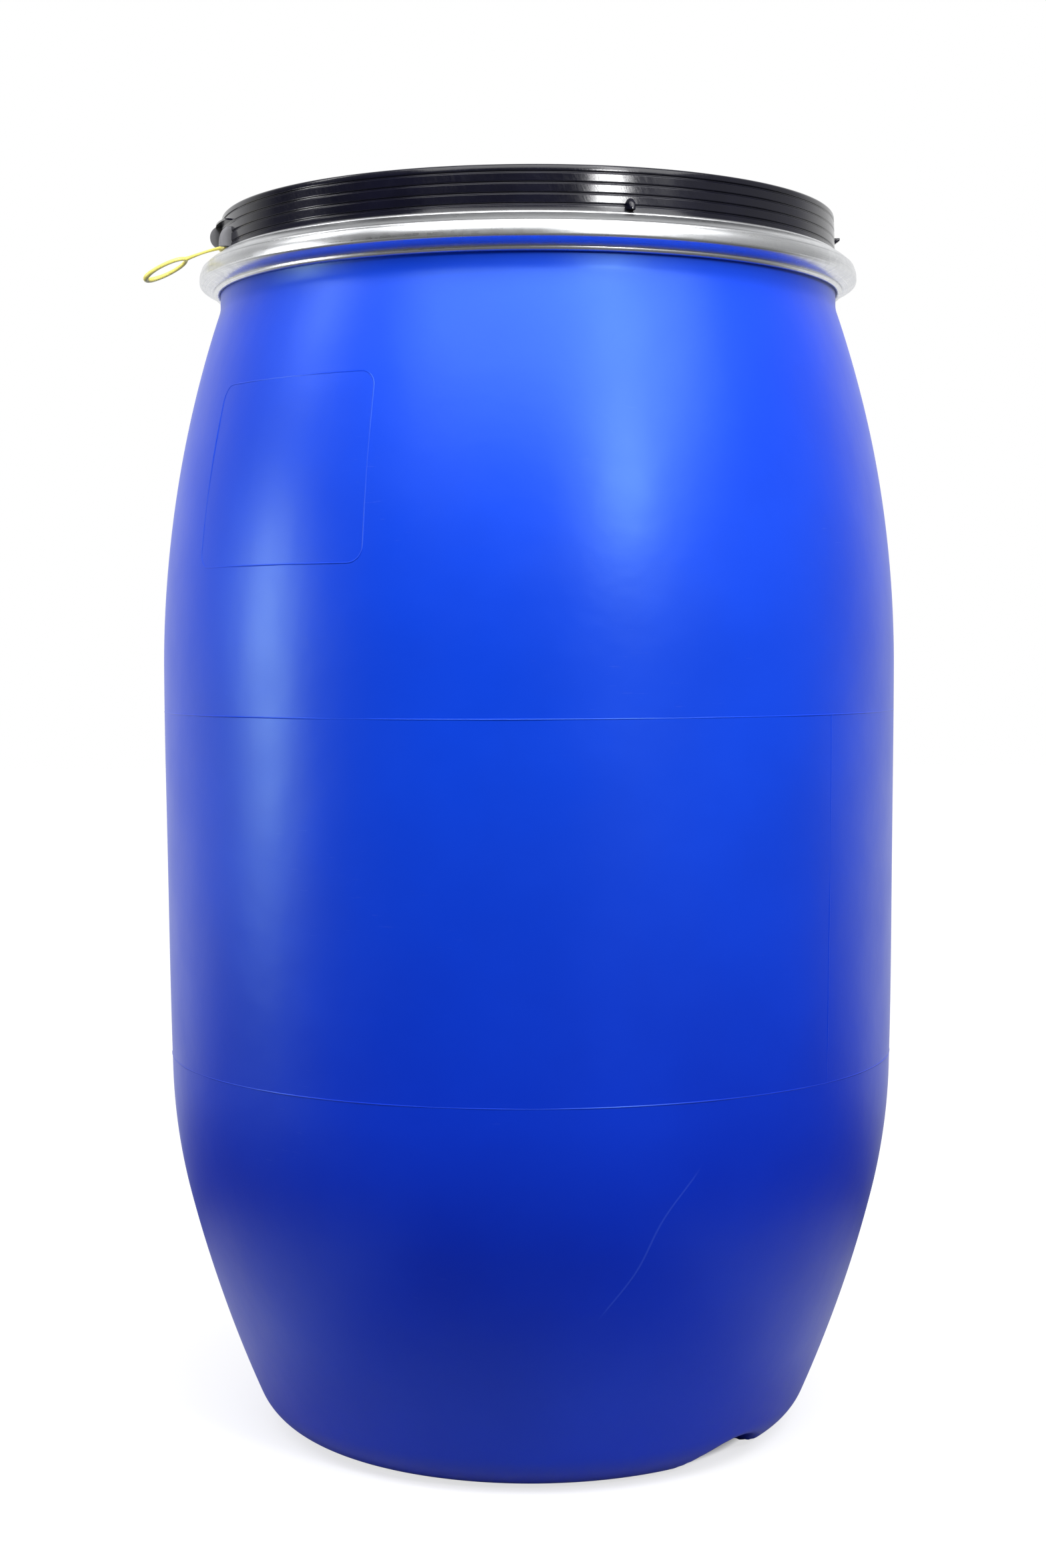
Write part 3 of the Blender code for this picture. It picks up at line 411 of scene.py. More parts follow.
def turned_piece(name, profile, finish, columns=289, start=0.0, sweep=2 * pi):
    points = [(radius, 0.0, height) for radius, height in profile]
    sizes = {"Columns": columns, "Start": start, "Sweep": sweep, "Finish": finish}
    piece = bake(name, plain_mesh(name, points), turned, sizes)
    print(f"{name}: {len(piece.data.polygons)} faces, {len(profile)} profile points")
    return piece


def curve_point(start, corner, end, share):
    """A point of the short curve that rounds a corner."""
    left = 1 - share
    return tuple(start * left**2 + corner * (2 * share * left) + end * share * share)


def rounded(corners, steps=4):
    """A profile from (radius, height, rounding) corners, each rounded by a short curve."""
    spots = [Vector(corner[:2]) for corner in corners]
    points = []
    for i, corner in enumerate(corners):
        size = corner[2] if len(corner) > 2 else 0.0
        if size <= 0.0 or i in (0, len(corners) - 1):
            points.append(tuple(spots[i]))
            continue
        before, after = spots[i - 1] - spots[i], spots[i + 1] - spots[i]
        start = spots[i] + before.normalized() * min(size, before.length * 0.48)
        end = spots[i] + after.normalized() * min(size, after.length * 0.48)
        points += [curve_point(start, spots[i], end, k / steps) for k in range(steps + 1)]
    return points


print("piece helpers ready")

# %% [markdown]
# ## The drum's wall
# Seen from the side, the wall is a chain of arcs: a long shoulder bowing out from the neck, a nearly
# straight waist, a knee, and a heel down to the foot. Each arc leaves the last one without a kink, which
# is how a blown wall behaves. The same rule with an inset gives the inside. A single spline through
# a few points would be quicker, but would not keep the straight waist.

# %% Wall profile
BODY_WALL = 0.0036
BASE_RISE = 0.0080
FOOT_INNER = FOOT_RADIUS - 0.0300
SHOULDER_HEIGHT = 0.2335
WIDEST = NECK_FOOT - SHOULDER_HEIGHT
WAIST_FOOT = (BODY_RADIUS - 0.0026, WIDEST - 0.2650)
KNEE = (BODY_RADIUS - 0.0133, 0.1590)
HEEL = (FOOT_RADIUS + 0.0365, 0.0246)
FOOT = (FOOT_RADIUS, 0.0)
RING_SHEET = 0.0012
RING_FLAT = 0.0100
LIP_SLOPE = radians(28)


def lip_rise(radius):
    """Height of the ring's outer lip face above or below the mouth."""
    return RING_FLAT / 2 + (RING_RADIUS - radius) * tan(LIP_SLOPE)


def flange_rise(radius):
    """Height of the flanges that the ring's lips press on."""
    return lip_rise(radius) - (RING_SHEET + CLEAR) / cos(LIP_SLOPE)


def wall(inset, step):
    """The wall from the neck's foot down to the foot, moved inwards by its thickness."""
    out = BODY_RADIUS - NECK_RADIUS
    bow = (SHOULDER_HEIGHT**2 + out**2) / (2 * out)
    lean = asin(SHOULDER_HEIGHT / bow)
    count = round(SHOULDER_HEIGHT / step)
    path = []
    for i in range(count + 1):
        here = lean * (1 - i / count)
        path.append((BODY_RADIUS - bow * (1 - cos(here)), WIDEST + bow * sin(here), here - pi / 2))
    heading = -pi / 2
    for target in (WAIST_FOOT, KNEE, HEEL, FOOT):
        start = Vector(path[-1][:2])
        chord = Vector(target) - start
        bend = atan2(chord.y, chord.x) - heading
        spacing = step / 3 if target == FOOT else step
        count = max(5, round(chord.length / spacing))
        for i in range(1, count + 1):
            part = bend * i / count
            reach = chord.length * sin(part) / sin(bend)
            turn = heading + part
            path.append((start.x + reach * cos(turn), start.y + reach * sin(turn), heading + 2 * part))
        heading += 2 * bend
    return [(r + inset * sin(lean), z - inset * cos(lean)) for r, z, lean in path]


outer_wall = wall(inset=0.0, step=0.0060)
print(f"outer wall: {len(outer_wall)} points, widest {max(r for r, z in outer_wall):.4f} m")

# %% [markdown]
# ## Drum body
# The outer wall, the flange under the ring, the inside and the base are one closed profile, so the turn
# gives a real hollow body with a wall. Corners that a mould rounds are rounded here too. Solidify could
# add the wall instead, but the neck and the flange are thicker than the rest. The flat foot gets extra
# rings of points, because the next step bends it.

# %% Drum shell
foot_ring = [FOOT_INNER + 0.0080 + 0.0024 * k for k in range(9)]
corners = [(0.0, BASE_RISE), (FOOT_INNER - BASE_RISE, BASE_RISE, 0.005), (FOOT_INNER, 0.0, 0.005)]
corners += [(r, 0.0) for r in foot_ring]
corners += reversed(outer_wall[1:])
corners += [(NECK_RADIUS, NECK_FOOT, 0.0030), (NECK_RADIUS, MOUTH - flange_rise(NECK_RADIUS), 0.0015)]
corners += [(FLANGE_RADIUS, MOUTH - flange_rise(FLANGE_RADIUS), 0.001), (FLANGE_RADIUS, MOUTH, 0.001)]
corners += [(MOUTH_RADIUS, MOUTH, 0.0015), (MOUTH_RADIUS, NECK_FOOT, 0.004)]
corners += wall(inset=BODY_WALL, step=0.014)[1:] + [(r, BODY_WALL) for r in reversed(foot_ring)]
corners += [(FOOT_INNER, BODY_WALL, 0.004), (FOOT_INNER - BASE_RISE, BASE_RISE + BODY_WALL, 0.004)]
corners += [(0.0, BASE_RISE + BODY_WALL)]
drum_shell = turned_piece("drum_shell", rounded(corners), blue)

# %% [markdown]
# ## Soft unevenness and scallops
# A blown wall is never a perfect turned surface: it cools unevenly and waves by some tenths of
# a millimetre, which breaks up the long reflections. The foot also has two arched scallops, one across
# from the other. Both are moves of the finished mesh's points. A sculpting brush would do it by hand,
# and a Displace modifier only for the waves.

# %% Shape the drum's wall
def read_points(piece):
    flat = np.empty(len(piece.data.vertices) * 3)
    piece.data.vertices.foreach_get("co", flat)
    return flat.reshape(-1, 3)


def write_points(piece, points):
    piece.data.vertices.foreach_set("co", points.ravel())
    piece.data.update()


SCALLOP_ANGLE = radians(-44)
SCALLOP_WIDTH = 0.0820
SCALLOP_DEPTH = 0.0207
SCALLOP_INNER = FOOT_RADIUS - 0.0130
SCALLOP_FADE = 0.006
SOFT_EDGE = 0.0008
HEEL_TOP = 0.06


def soft_step(value, low, high):
    t = np.clip((value - low) / (high - low), 0.0, 1.0)
    return t * t * (3 - 2 * t)


def wall_waves(angle, height):
    """How far the wall stands out of its turned shape."""
    waves = 0.00022 * np.sin(3 * angle + 9.0 * height + 0.6) + 0.00010 * np.sin(9 * angle + 33.0 * height)
    waves = waves + 0.00014 * np.sin(5 * angle - 21.0 * height + 1.9)
    fades = soft_step(height, 0.03, 0.12) * (1 - soft_step(height, 0.66, 0.73))
    return waves * fades


def higher(first, second, soft):
    """The higher of two heights, with the crease between them rounded."""
    mix = np.clip(0.5 + (first - second) / (2 * soft), 0.0, 1.0)
    return second + (first - second) * mix + soft * mix * (1 - mix)


points = read_points(drum_shell)
angle = np.arctan2(points[:, 1], points[:, 0])
radius = np.hypot(points[:, 0], points[:, 1])
z = points[:, 2]
waves = wall_waves(angle, z)
points[:, 0] += np.cos(angle) * waves
points[:, 1] += np.sin(angle) * waves

foot_arc = [point for point in reversed(outer_wall) if point[1] < HEEL_TOP]
skin = np.interp(radius, *zip(*foot_arc))
inside = z > skin + BODY_WALL / 3
bow = (SCALLOP_WIDTH**2 / 4 + SCALLOP_DEPTH**2) / (2 * SCALLOP_DEPTH)
for middle in (SCALLOP_ANGLE, SCALLOP_ANGLE + pi):
    turn = np.angle(np.exp(1j * (angle - middle)))
    side = radius * np.sin(turn)
    near = (np.abs(turn) < pi / 3) & (np.abs(side) < SCALLOP_WIDTH / 2) & (z < HEEL_TOP)
    arch = SCALLOP_DEPTH - bow + np.sqrt(np.clip(bow**2 - side**2, 0.0, None))
    arch = arch * soft_step(radius, SCALLOP_INNER - SCALLOP_FADE, SCALLOP_INNER + SCALLOP_FADE)
    soft = np.clip(arch, 1e-6, SOFT_EDGE)
    lifted = higher(z, arch + np.where(inside, BODY_WALL, 0.0), soft)
    points[:, 2] = np.where(near, np.maximum(points[:, 2], lifted), points[:, 2])
write_points(drum_shell, points)
print(f"waves of {waves.min() * 1000:.2f} to {waves.max() * 1000:.2f} mm")
print(f"scallops {SCALLOP_DEPTH * 1000:.1f} mm deep and {SCALLOP_WIDTH * 1000:.0f} mm wide")

# %% [markdown]
# ## A bead along a path
# Thin raised lines and cords are all a round bead that follows a path. A curve with a bevel would draw
# one by hand. Here a tree turns the edges of a guide mesh into curves and sweeps a circle along them,
# and each point of the guide carries the thickness of the bead there.

# %% A tree that draws a bead along a path
bead, given, result = new_tree("bead_on_path", [("Sides", "Int"), ("Finish", "Material")])
path = add(bead, "GeometryNodeMeshToCurve", {"Mesh": given["Geometry"]}).outputs["Curve"]
shaded_blue_and_bead_width = add(bead, "GeometryNodeInputNamedAttribute", {"Name": "thickness"}, data_type="FLOAT")
ring = add(bead, "GeometryNodeCurvePrimitiveCircle", {"Resolution": given["Sides"], "Radius": 0.5})
tube = add(bead, "GeometryNodeCurveToMesh", {"Curve": path, "Profile Curve": ring.outputs["Curve"]})
join(bead, tube.inputs["Scale"], shaded_blue_and_bead_width.outputs["Attribute"])
tube.inputs["Fill Caps"].default_value = True
close_tree(bead, tube.outputs["Mesh"], given["Finish"], result)


def bead_guide(name, paths):
    """One guide mesh for paths of (points, thicknesses, closed)."""
    points, edges, sizes = [], [], []
    for line, widths, closed in paths:
        first = len(points)
        points += list(line)
        sizes += list(widths)
        edges += [(first + i, first + i + 1) for i in range(len(line) - 1)]
        if closed:
            edges.append((first + len(line) - 1, first))
    mesh = plain_mesh(name, points, edges)
    mesh.attributes.new("thickness", "FLOAT", "POINT").data.foreach_set("value", sizes)
    return mesh


print("tree", bead.name, "with", len(bead.nodes), "nodes")

# %% [markdown]
# ## Mould seams
# Where the mould's parts met, plastic was pressed into the joints and left thin raised lines: two that
# run round the waist, two that stand between them, and the outline of a shallow panel. Each path runs
# just under the surface, so that only a low crest shows, and its depth wavers a little, so that the line
# fades in and out as a real seam does. A bump could draw the lines too, but not at the outline.

# %% Mould seams on the wall
SEAM_BEAD = 0.0012
SEAM_CREST = 0.00022
wall_radii, wall_heights = np.array(outer_wall[::-1]).T


def on_wall(front_angle, height):
    """A point just under the wall, from its angle right of the front and its height."""
    angle = front_angle - pi / 2
    radius = np.interp(height, wall_heights, wall_radii)
    waver = 0.00008 * sin(7 * angle + 40 * height) + 0.00005 * sin(23 * angle - 90 * height)
    return polar(radius + wall_waves(angle, height) - SEAM_BEAD / 2 + SEAM_CREST + waver, angle, height)


WAIST_SEAM = 0.477
KNEE_SEAM = 0.251
UPRIGHT_SEAM = radians(48.9)
lines = []
for level in (WAIST_SEAM, KNEE_SEAM):
    lines.append(([on_wall(2 * pi * i / 600, level) for i in range(600)], True))
for upright in (UPRIGHT_SEAM, UPRIGHT_SEAM - pi):
    levels = np.linspace(KNEE_SEAM, WAIST_SEAM, 111)
    lines.append(([on_wall(upright, level) for level in levels], False))

PANEL_LEFT, PANEL_RIGHT = radians(-58), radians(-24)
PANEL_LOW, PANEL_HIGH = 0.568, 0.681
PANEL_CORNER = 0.010
PANEL_TURN = PANEL_CORNER / BODY_RADIUS
right, left = PANEL_RIGHT - PANEL_TURN, PANEL_LEFT + PANEL_TURN
high, low = PANEL_HIGH - PANEL_CORNER, PANEL_LOW + PANEL_CORNER
corner_arcs = []
for quarter, (across, up) in enumerate([(right, high), (left, high), (left, low), (right, low)]):
    for lean in (radians(90 * quarter + 10 * k) for k in range(10)):
        corner_arcs.append((across + PANEL_TURN * cos(lean), up + PANEL_CORNER * sin(lean)))
corner_arcs = np.array(corner_arcs)
outline = []
for i, spot in enumerate(corner_arcs):
    following = corner_arcs[(i + 1) % len(corner_arcs)]
    steps = 40 if i % 10 == 9 else 1
    outline += [spot + (following - spot) * k / steps for k in range(steps)]
lines.append(([on_wall(front_angle, height) for front_angle, height in outline], True))
seams = [(line, [SEAM_BEAD] * len(line), closed) for line, closed in lines]
mould_seams = bake("mould_seams", bead_guide("mould_seams", seams), bead, {"Sides": 8, "Finish": blue})
print(f"mould_seams: {len(seams)} lines, {len(mould_seams.data.polygons)} faces")

# %% [markdown]
# ## Lid
# The lid is a black dish: a sunk panel, a rounded rim, a tall skirt with four fine grooves, and underneath
# a flange with a channel for the gasket and a short spigot that enters the mouth. It is one profile, as
# the body is. The grooves repeat at one pitch, so a loop writes them. Loop cuts in a cylinder would do
# too, but their places would then be set by eye.

# %% Lid shell
LID_WALL = 0.0035
GASKET_INNER = MOUTH_RADIUS + 0.0012
GASKET_WIDTH = 0.0070
GASKET_HEIGHT = 0.0030
FLANGE_GAP = 0.0005
SPIGOT_GAP = 0.0006
SPIGOT_DEPTH = 0.0090
SKIRT_TAPER = 0.0012
RIM_WIDTH = 0.0215
PANEL_DRAFT = 0.0030
PANEL_TOP = LID_TOP - 0.0250
GROOVE_COUNT = 4
GROOVE_PITCH = 0.0062
GROOVE_DEPTH = 0.0008
GROOVE_SOFT = 0.0003
FIRST_GROOVE = LID_TOP - 0.0046


def skirt_radius(height):
    """Radius of the lid's tapered skirt."""
    return NECK_RADIUS - SKIRT_TAPER * (height - MOUTH) / (LID_TOP - MOUTH)


rim_outer = NECK_RADIUS - SKIRT_TAPER
rim_inner = rim_outer - RIM_WIDTH
panel_edge = rim_inner - PANEL_DRAFT
corners = [(0.0, PANEL_TOP + 0.0008), (0.060, PANEL_TOP + 0.0006), (panel_edge - 0.020, PANEL_TOP)]
corners += [(panel_edge, PANEL_TOP, 0.006), (rim_inner, LID_TOP, 0.004), (rim_outer, LID_TOP, 0.003)]
for i in range(GROOVE_COUNT):
    middle = FIRST_GROOVE - i * GROOVE_PITCH
    steps = [(0.0012, 0.0, 0.0), (0.0008, 0.0, GROOVE_SOFT), (0.0003, GROOVE_DEPTH, GROOVE_SOFT)]
    steps += [(-rise, depth, size) for rise, depth, size in reversed(steps)]
    for rise, depth, size in steps:
        corners.append((skirt_radius(middle + rise) - depth, middle + rise, size))
corners += [(NECK_RADIUS, MOUTH + flange_rise(NECK_RADIUS), 0.001)]
corners += [(FLANGE_RADIUS, MOUTH + flange_rise(FLANGE_RADIUS), 0.0008)]
underside = MOUTH + FLANGE_GAP
channel_inner = GASKET_INNER - CLEAR
channel_outer = channel_inner + GASKET_WIDTH + 2 * CLEAR
channel_roof = MOUTH + GASKET_HEIGHT + 2 * CLEAR
spigot_outer = MOUTH_RADIUS - SPIGOT_GAP
spigot_inner = spigot_outer - LID_WALL
corners += [(FLANGE_RADIUS, underside, 0.0008), (channel_outer, underside), (channel_outer, channel_roof)]
corners += [(channel_inner, channel_roof), (channel_inner, underside), (spigot_outer, underside, 0.0008)]
corners += [(spigot_outer, MOUTH - SPIGOT_DEPTH, 0.0012), (spigot_inner, MOUTH - SPIGOT_DEPTH, 0.0012)]
skirt_root = MOUTH + flange_rise(NECK_RADIUS)
corners += [(spigot_inner, skirt_root - LID_WALL, 0.002), (NECK_RADIUS - LID_WALL, skirt_root, 0.002)]
corners += [(rim_outer - LID_WALL, LID_TOP - LID_WALL, 0.002)]
corners += [(rim_inner + LID_WALL, LID_TOP - LID_WALL, 0.002)]
corners += [(panel_edge + LID_WALL, PANEL_TOP - LID_WALL, 0.003), (0.0, PANEL_TOP - LID_WALL)]
lid_shell = turned_piece("lid_shell", rounded(corners), black)

# %% [markdown]
# ## Copies round the axis
# Noses, rivets and pivots repeat round the drum, each facing outwards. Copies placed by hand would do for
# so few. A tree sets one shape on the points of a guide and turns each copy by its own angle, so a change
# to the shape changes all its twins.

# %% A tree that sets a shape on points round the axis
studs, given, result = new_tree("set_round_the_axis", [("Shape", "Object"), ("Finish", "Material")])
shape = add(studs, "GeometryNodeObjectInfo", {"Object": given["Shape"]}).outputs["Geometry"]
spot = add(studs, "GeometryNodeInputPosition").outputs["Position"]
east, north, _ = split(studs, spot)
facing = combined(studs, 0.0, 0.0, calc(studs, "ARCTAN2", north, east))
turned_out = add(studs, "FunctionNodeEulerToRotation", {"Euler": facing}).outputs["Rotation"]
spread_out = add(studs, "GeometryNodeInstanceOnPoints", {"Points": given["Geometry"], "Instance": shape})
join(studs, spread_out.inputs["Rotation"], turned_out)
close_tree(studs, spread_out.outputs["Instances"], given["Finish"], result)


def set_round(name, shape_piece, places, finish):
    """Copies of a shape at places round the axis. The shape itself is used up."""
    sizes = {"Shape": shape_piece, "Finish": finish}
    piece = bake(name, plain_mesh(name, places), studs, sizes)
    bpy.data.objects.remove(shape_piece, do_unlink=True)
    print(f"{name}: {len(places)} set, {len(piece.data.polygons)} faces")
    return piece


print("tree", studs.name, "with", len(studs.nodes), "nodes")

# %% [markdown]
# ## Noses of the lid
# Four small noses stand on the skirt just above the ring and keep it from riding up: a low, round pair
# at the front and the back, and a taller pair at the sides, where the seal hangs. A nose is a swelling
# that is widest at its flat foot and rounds over at the top. A cube under Subdivision Surface comes near
# to it, but rings of points that follow a rule keep the foot flat.

# %% Ring noses
LUG_ROOT = 0.0016
NOSE_WIDTH = 0.0050
NOSE_SWELL = 2.2
NOSE_SQUARE = 0.7
FRONT_NOSES = [radians(-73), radians(107)]
SIDE_NOSES = [radians(201), radians(21)]


def loft(name, rings):
    """A closed shape through rings of equally many points."""
    count = len(rings[0])
    points = [point for ring in rings for point in ring]
    faces = []
    for k in range(len(rings) - 1):
        for i in range(count):
            a, b = k * count + i, k * count + (i + 1) % count
            faces.append((a, b, b + count, a + count))
    faces += [tuple(range(count)), tuple(range(len(points) - 1, len(points) - 1 - count, -1))]
    return as_piece(name, plain_mesh(name, points, faces=faces), radians(50))


def nose_shape(name, reach, height, round_top):
    """A nose with a flat foot: its front swells out, and its top rounds over from a share of its height."""
    rings = []
    for k in range(15):
        share = sin(k / 14 * pi / 2 * 0.985)
        out = reach * (1 - share**NOSE_SWELL) ** (1 / NOSE_SWELL)
        over = max(0.0, (share - round_top) / (1 - round_top))
        half = NOSE_WIDTH / 2 * (1 - over**NOSE_SWELL) ** 0.5 + 0.00005
        ring = [(-LUG_ROOT, half, height * share), (-LUG_ROOT, -half, height * share)]
        for i in range(17):
            lean = -pi / 2 + pi * i / 16
            side = abs(sin(lean)) ** NOSE_SQUARE * (1 if lean > 0 else -1)
            ring.append((out * cos(lean) ** NOSE_SQUARE, half * side, height * share))
        rings.append(ring)
    return loft(name, rings)


nose_foot = MOUTH + lip_rise(NECK_RADIUS) + 2 * CLEAR


def on_skirt(angles):
    return [polar(skirt_radius(nose_foot), angle, nose_foot) for angle in angles]


low_nose = nose_shape("low_nose", reach=0.0060, height=0.0069, round_top=0.30)
tall_nose = nose_shape("tall_nose", reach=0.0074, height=0.0128, round_top=0.80)
front_noses = set_round("front_noses", low_nose, on_skirt(FRONT_NOSES), black)
# The side noses get the pale grey lug finish, which is painted light.
side_noses = set_round("side_noses", tall_nose, on_skirt(SIDE_NOSES), painted_light_lug)

# %% [markdown]
# ## Cheek, web and nub of the lid
# At the left a half-round cheek holds the pull seal against its nose, with a thin dark web from its crown
# to the nose, and at the right a small wedge marks where the ring has to sit. Cheek and wedge are flat
# outlines with a thickness and rounded edges, which is also how the mould was cut: with a thin cutter
# from the side. The web is a small section carried from one lug to the other.

# %% Cheek, web and nub
def lug(name, outline, angle, width, soft, finish):
    """A flat shape that stands on the skirt, with softened edges, from (reach, height) points."""
    spots = [(skirt_radius(height) + reach, height) for reach, height in outline]
    shape = bmesh.new()
    near = [shape.verts.new((radius, -width / 2, height)) for radius, height in spots]
    far = [shape.verts.new((radius, width / 2, height)) for radius, height in spots]
    shape.faces.new(near)
    shape.faces.new(list(reversed(far)))
    for i in range(len(spots)):
        j = (i + 1) % len(spots)
        shape.faces.new((near[j], near[i], far[i], far[j]))
    rim = [edge for edge in shape.edges if abs(edge.verts[0].co.y - edge.verts[1].co.y) < 1e-6]
    bmesh.ops.bevel(shape, geom=rim, offset=soft, segments=3, profile=0.5, affect="EDGES")
    mesh = bpy.data.meshes.new(name)
    shape.to_mesh(mesh)
    shape.free()
    mesh.transform(Matrix.Rotation(angle, 4, "Z"))
    mesh.materials.append(finish)
    return as_piece(name, mesh)


CHEEK_ANGLE = radians(186)
CHEEK_RADIUS = 0.0073
CHEEK_WIDTH = 0.0040
CHEEK_MIDDLE = LID_TOP - 0.0116
leans = [radians(-82 + 164 * k / 24) for k in range(25)]
rim = [(CHEEK_RADIUS * cos(lean), CHEEK_MIDDLE + CHEEK_RADIUS * sin(lean)) for lean in leans]
outline = [(-LUG_ROOT, rim[0][1])] + rim + [(-LUG_ROOT, rim[-1][1])]
# The cheek gets the pale grey lug finish, which is painted light.
lid_cheek = lug("lid_cheek", outline, CHEEK_ANGLE, CHEEK_WIDTH, 0.0005, painted_light_lug)

WEB_REACH = 0.0036
WEB_SHEET = 0.0011
WEB_TOP = CHEEK_MIDDLE + 0.0072
WEB_FALL = 0.0038
sections = []
for k in range(13):
    angle = CHEEK_ANGLE + (SIDE_NOSES[0] - CHEEK_ANGLE) * k / 12
    top = WEB_TOP - WEB_FALL * k / 12
    low = top - WEB_SHEET
    outline = [(-LUG_ROOT, low), (WEB_REACH, low), (WEB_REACH, top), (-LUG_ROOT, top)]
    sections.append([polar(skirt_radius(height) + reach, angle, height) for reach, height in outline])
lid_web = loft("lid_web", sections)
lid_web.data.materials.append(black)

NUB_ANGLE = radians(-2)
NUB_WIDTH = 0.0060
NUB_HEIGHT = 0.0044
NUB_REACH = 0.0042
top = LID_TOP - 0.0115
low = top - NUB_HEIGHT
wedge = [(-LUG_ROOT, low), (0.0002, low), (NUB_REACH, top - 0.0015), (NUB_REACH, top), (-LUG_ROOT, top)]
lid_nub = lug("lid_nub", wedge, NUB_ANGLE, NUB_WIDTH, 0.0007, black)
for piece in (lid_cheek, lid_web, lid_nub):
    print(f"{piece.name}: {len(piece.data.polygons)} faces")

# %% [markdown]
# ## Gasket
# A flat foam cord lies in the channel of the lid's flange and is squeezed on the mouth. A circle with
# a bevel would give a round cord, so the section, a rectangle with soft corners, is turned as the lid is.

# %% Gasket cord
GASKET_OUTER = GASKET_INNER + GASKET_WIDTH
GASKET_SOFT = 0.0011
low, high = MOUTH + CLEAR, MOUTH + CLEAR + GASKET_HEIGHT
middle = (GASKET_INNER + GASKET_OUTER) / 2
section = [(middle, high), (GASKET_OUTER, high, GASKET_SOFT), (GASKET_OUTER, low, GASKET_SOFT)]
section += [(GASKET_INNER, low, GASKET_SOFT), (GASKET_INNER, high, GASKET_SOFT), (middle, high)]
gasket_cord = turned_piece("gasket_cord", rounded(section), rubber)

# %% [markdown]
# ## Closing ring
# The ring is one strip of zinc-coated steel, rolled to a C-section whose sloping lips draw the lid down
# on the body. Both lip edges are rolled over to a hem, so that nobody cuts a hand on them, and the upper
# lip runs into the wall in a round shoulder that catches the light. The section is written as one closed
# outline and turned through a little less than a full circle, because the ring is open where the lever
# pulls it shut.

# %% Ring section
LIP_EDGE = NECK_RADIUS + 0.0008
HEM_GROOVE = 0.00050


def lip_point(radius, lift=0.0):
    """A point of the upper lip's outer face, lifted square to the slope."""
    return (radius + lift * sin(LIP_SLOPE), lip_rise(radius) + lift * cos(LIP_SLOPE))


def lip_run(width, crest):
    """Points of one lip from its inner edge over the rolled hem to the end of the hem's groove."""
    run = [lip_point(LIP_EDGE, -RING_SHEET)]
    for k in range(13):
        share = k / 12
        lift = -HEM_GROOVE + (crest + HEM_GROOVE) * sin(pi * share) ** 0.6
        run.append(lip_point(LIP_EDGE + width * cos(LIP_SLOPE) * share, lift))
    return run + [lip_point(LIP_EDGE + (width + 0.0007) * cos(LIP_SLOPE))]


inside_radius = RING_RADIUS - RING_SHEET
inside_corner = (inside_radius, lip_rise(inside_radius) - RING_SHEET / cos(LIP_SLOPE), 0.0012)
upper = lip_run(width=0.0036, crest=0.00045)
shoulder = [upper[-1], (RING_RADIUS, lip_rise(RING_RADIUS)), (RING_RADIUS, -0.0015)]
upper += [curve_point(*map(Vector, shoulder), k / 14) for k in range(1, 15)]
lower = [(RING_RADIUS, -lip_rise(RING_RADIUS), 0.0014)]
lower += [(r, -z) for r, z in reversed(lip_run(width=0.0042, crest=0.0012))]
section = [(inside_radius, 0.0), inside_corner] + upper + lower
section += [(inside_corner[0], -inside_corner[1], 0.0012), (inside_radius, 0.0)]
ring_profile = [(r, MOUTH + z) for r, z in rounded(section)]

RING_GAP = 0.0110
PIVOT_ANGLE = radians(118)
GAP_ANGLE = PIVOT_ANGLE - 0.0140 / RING_RADIUS
gap_turn = RING_GAP / RING_RADIUS
start, sweep = GAP_ANGLE + gap_turn / 2, 2 * pi - gap_turn
clamp_ring = turned_piece("clamp_ring", ring_profile, steel, columns=361, start=start, sweep=sweep)
print(f"ring open by {RING_GAP * 1000:.0f} mm at {degrees(GAP_ANGLE):.0f} degrees")

# %% [markdown]
# ## Lever closure
# At the back sits the over-centre closure: a bracket with two ears, a curved lever, a strap with
# a hook, and the plate it catches on. Their solids already have the right shape, only their edges are
# knife-sharp. So each is a copy of its solid, with the loose triangles merged to clean faces and every
# edge rounded by a few tenths of a millimetre, as a pressed and tumbled sheet part has.

# %% Softened copies of the closure's plates
def softened(node, name, soft):
    shape = bmesh.new()
    shape.from_mesh(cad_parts[node].data)
    bmesh.ops.remove_doubles(shape, verts=shape.verts, dist=1e-5)
    bmesh.ops.dissolve_limit(shape, angle_limit=radians(1.0), verts=shape.verts, edges=shape.edges)
    mesh = bpy.data.meshes.new(name)
    shape.to_mesh(mesh)
    shape.free()
    mesh.materials.append(steel)
    piece = new_object(name, mesh)
    rounding = piece.modifiers.new("rounded_edges", "BEVEL")
    rounding.width = soft
    rounding.segments = 2
    rounding.limit_method = "ANGLE"
    rounding.angle_limit = radians(40)
    rounding.use_clamp_overlap = True
    seen = piece.evaluated_get(bpy.context.evaluated_depsgraph_get())
    done = bpy.data.meshes.new_from_object(seen)
    piece.modifiers.clear()
    piece.data = done
    bpy.data.meshes.remove(mesh)
    done.name = name
    done.shade_smooth()
    done.set_sharp_from_angle(angle=radians(32))
    print(f"{name}: {len(done.polygons)} faces")
    return piece


bracket_saddle = softened("lever_bracket", "bracket_saddle", 0.0003)
catch_plate = softened("catch_bracket", "catch_plate", 0.0003)
lever_arm = softened("closing_lever", "lever_arm", 0.0003)
hook_strap = softened("hook_link", "hook_strap", 0.0004)

# %% [markdown]
# ## Rivets and pins
# Four domed rivets hold the two plates on the ring, and headed pins carry the lever and the strap. A head
# is a small turned profile. The rivets and the two lever pivots are set by the same tree as the noses.

# %% Rivets and pins
def turned_small(name, profile):
    return turned_piece(name, profile, steel, columns=33)


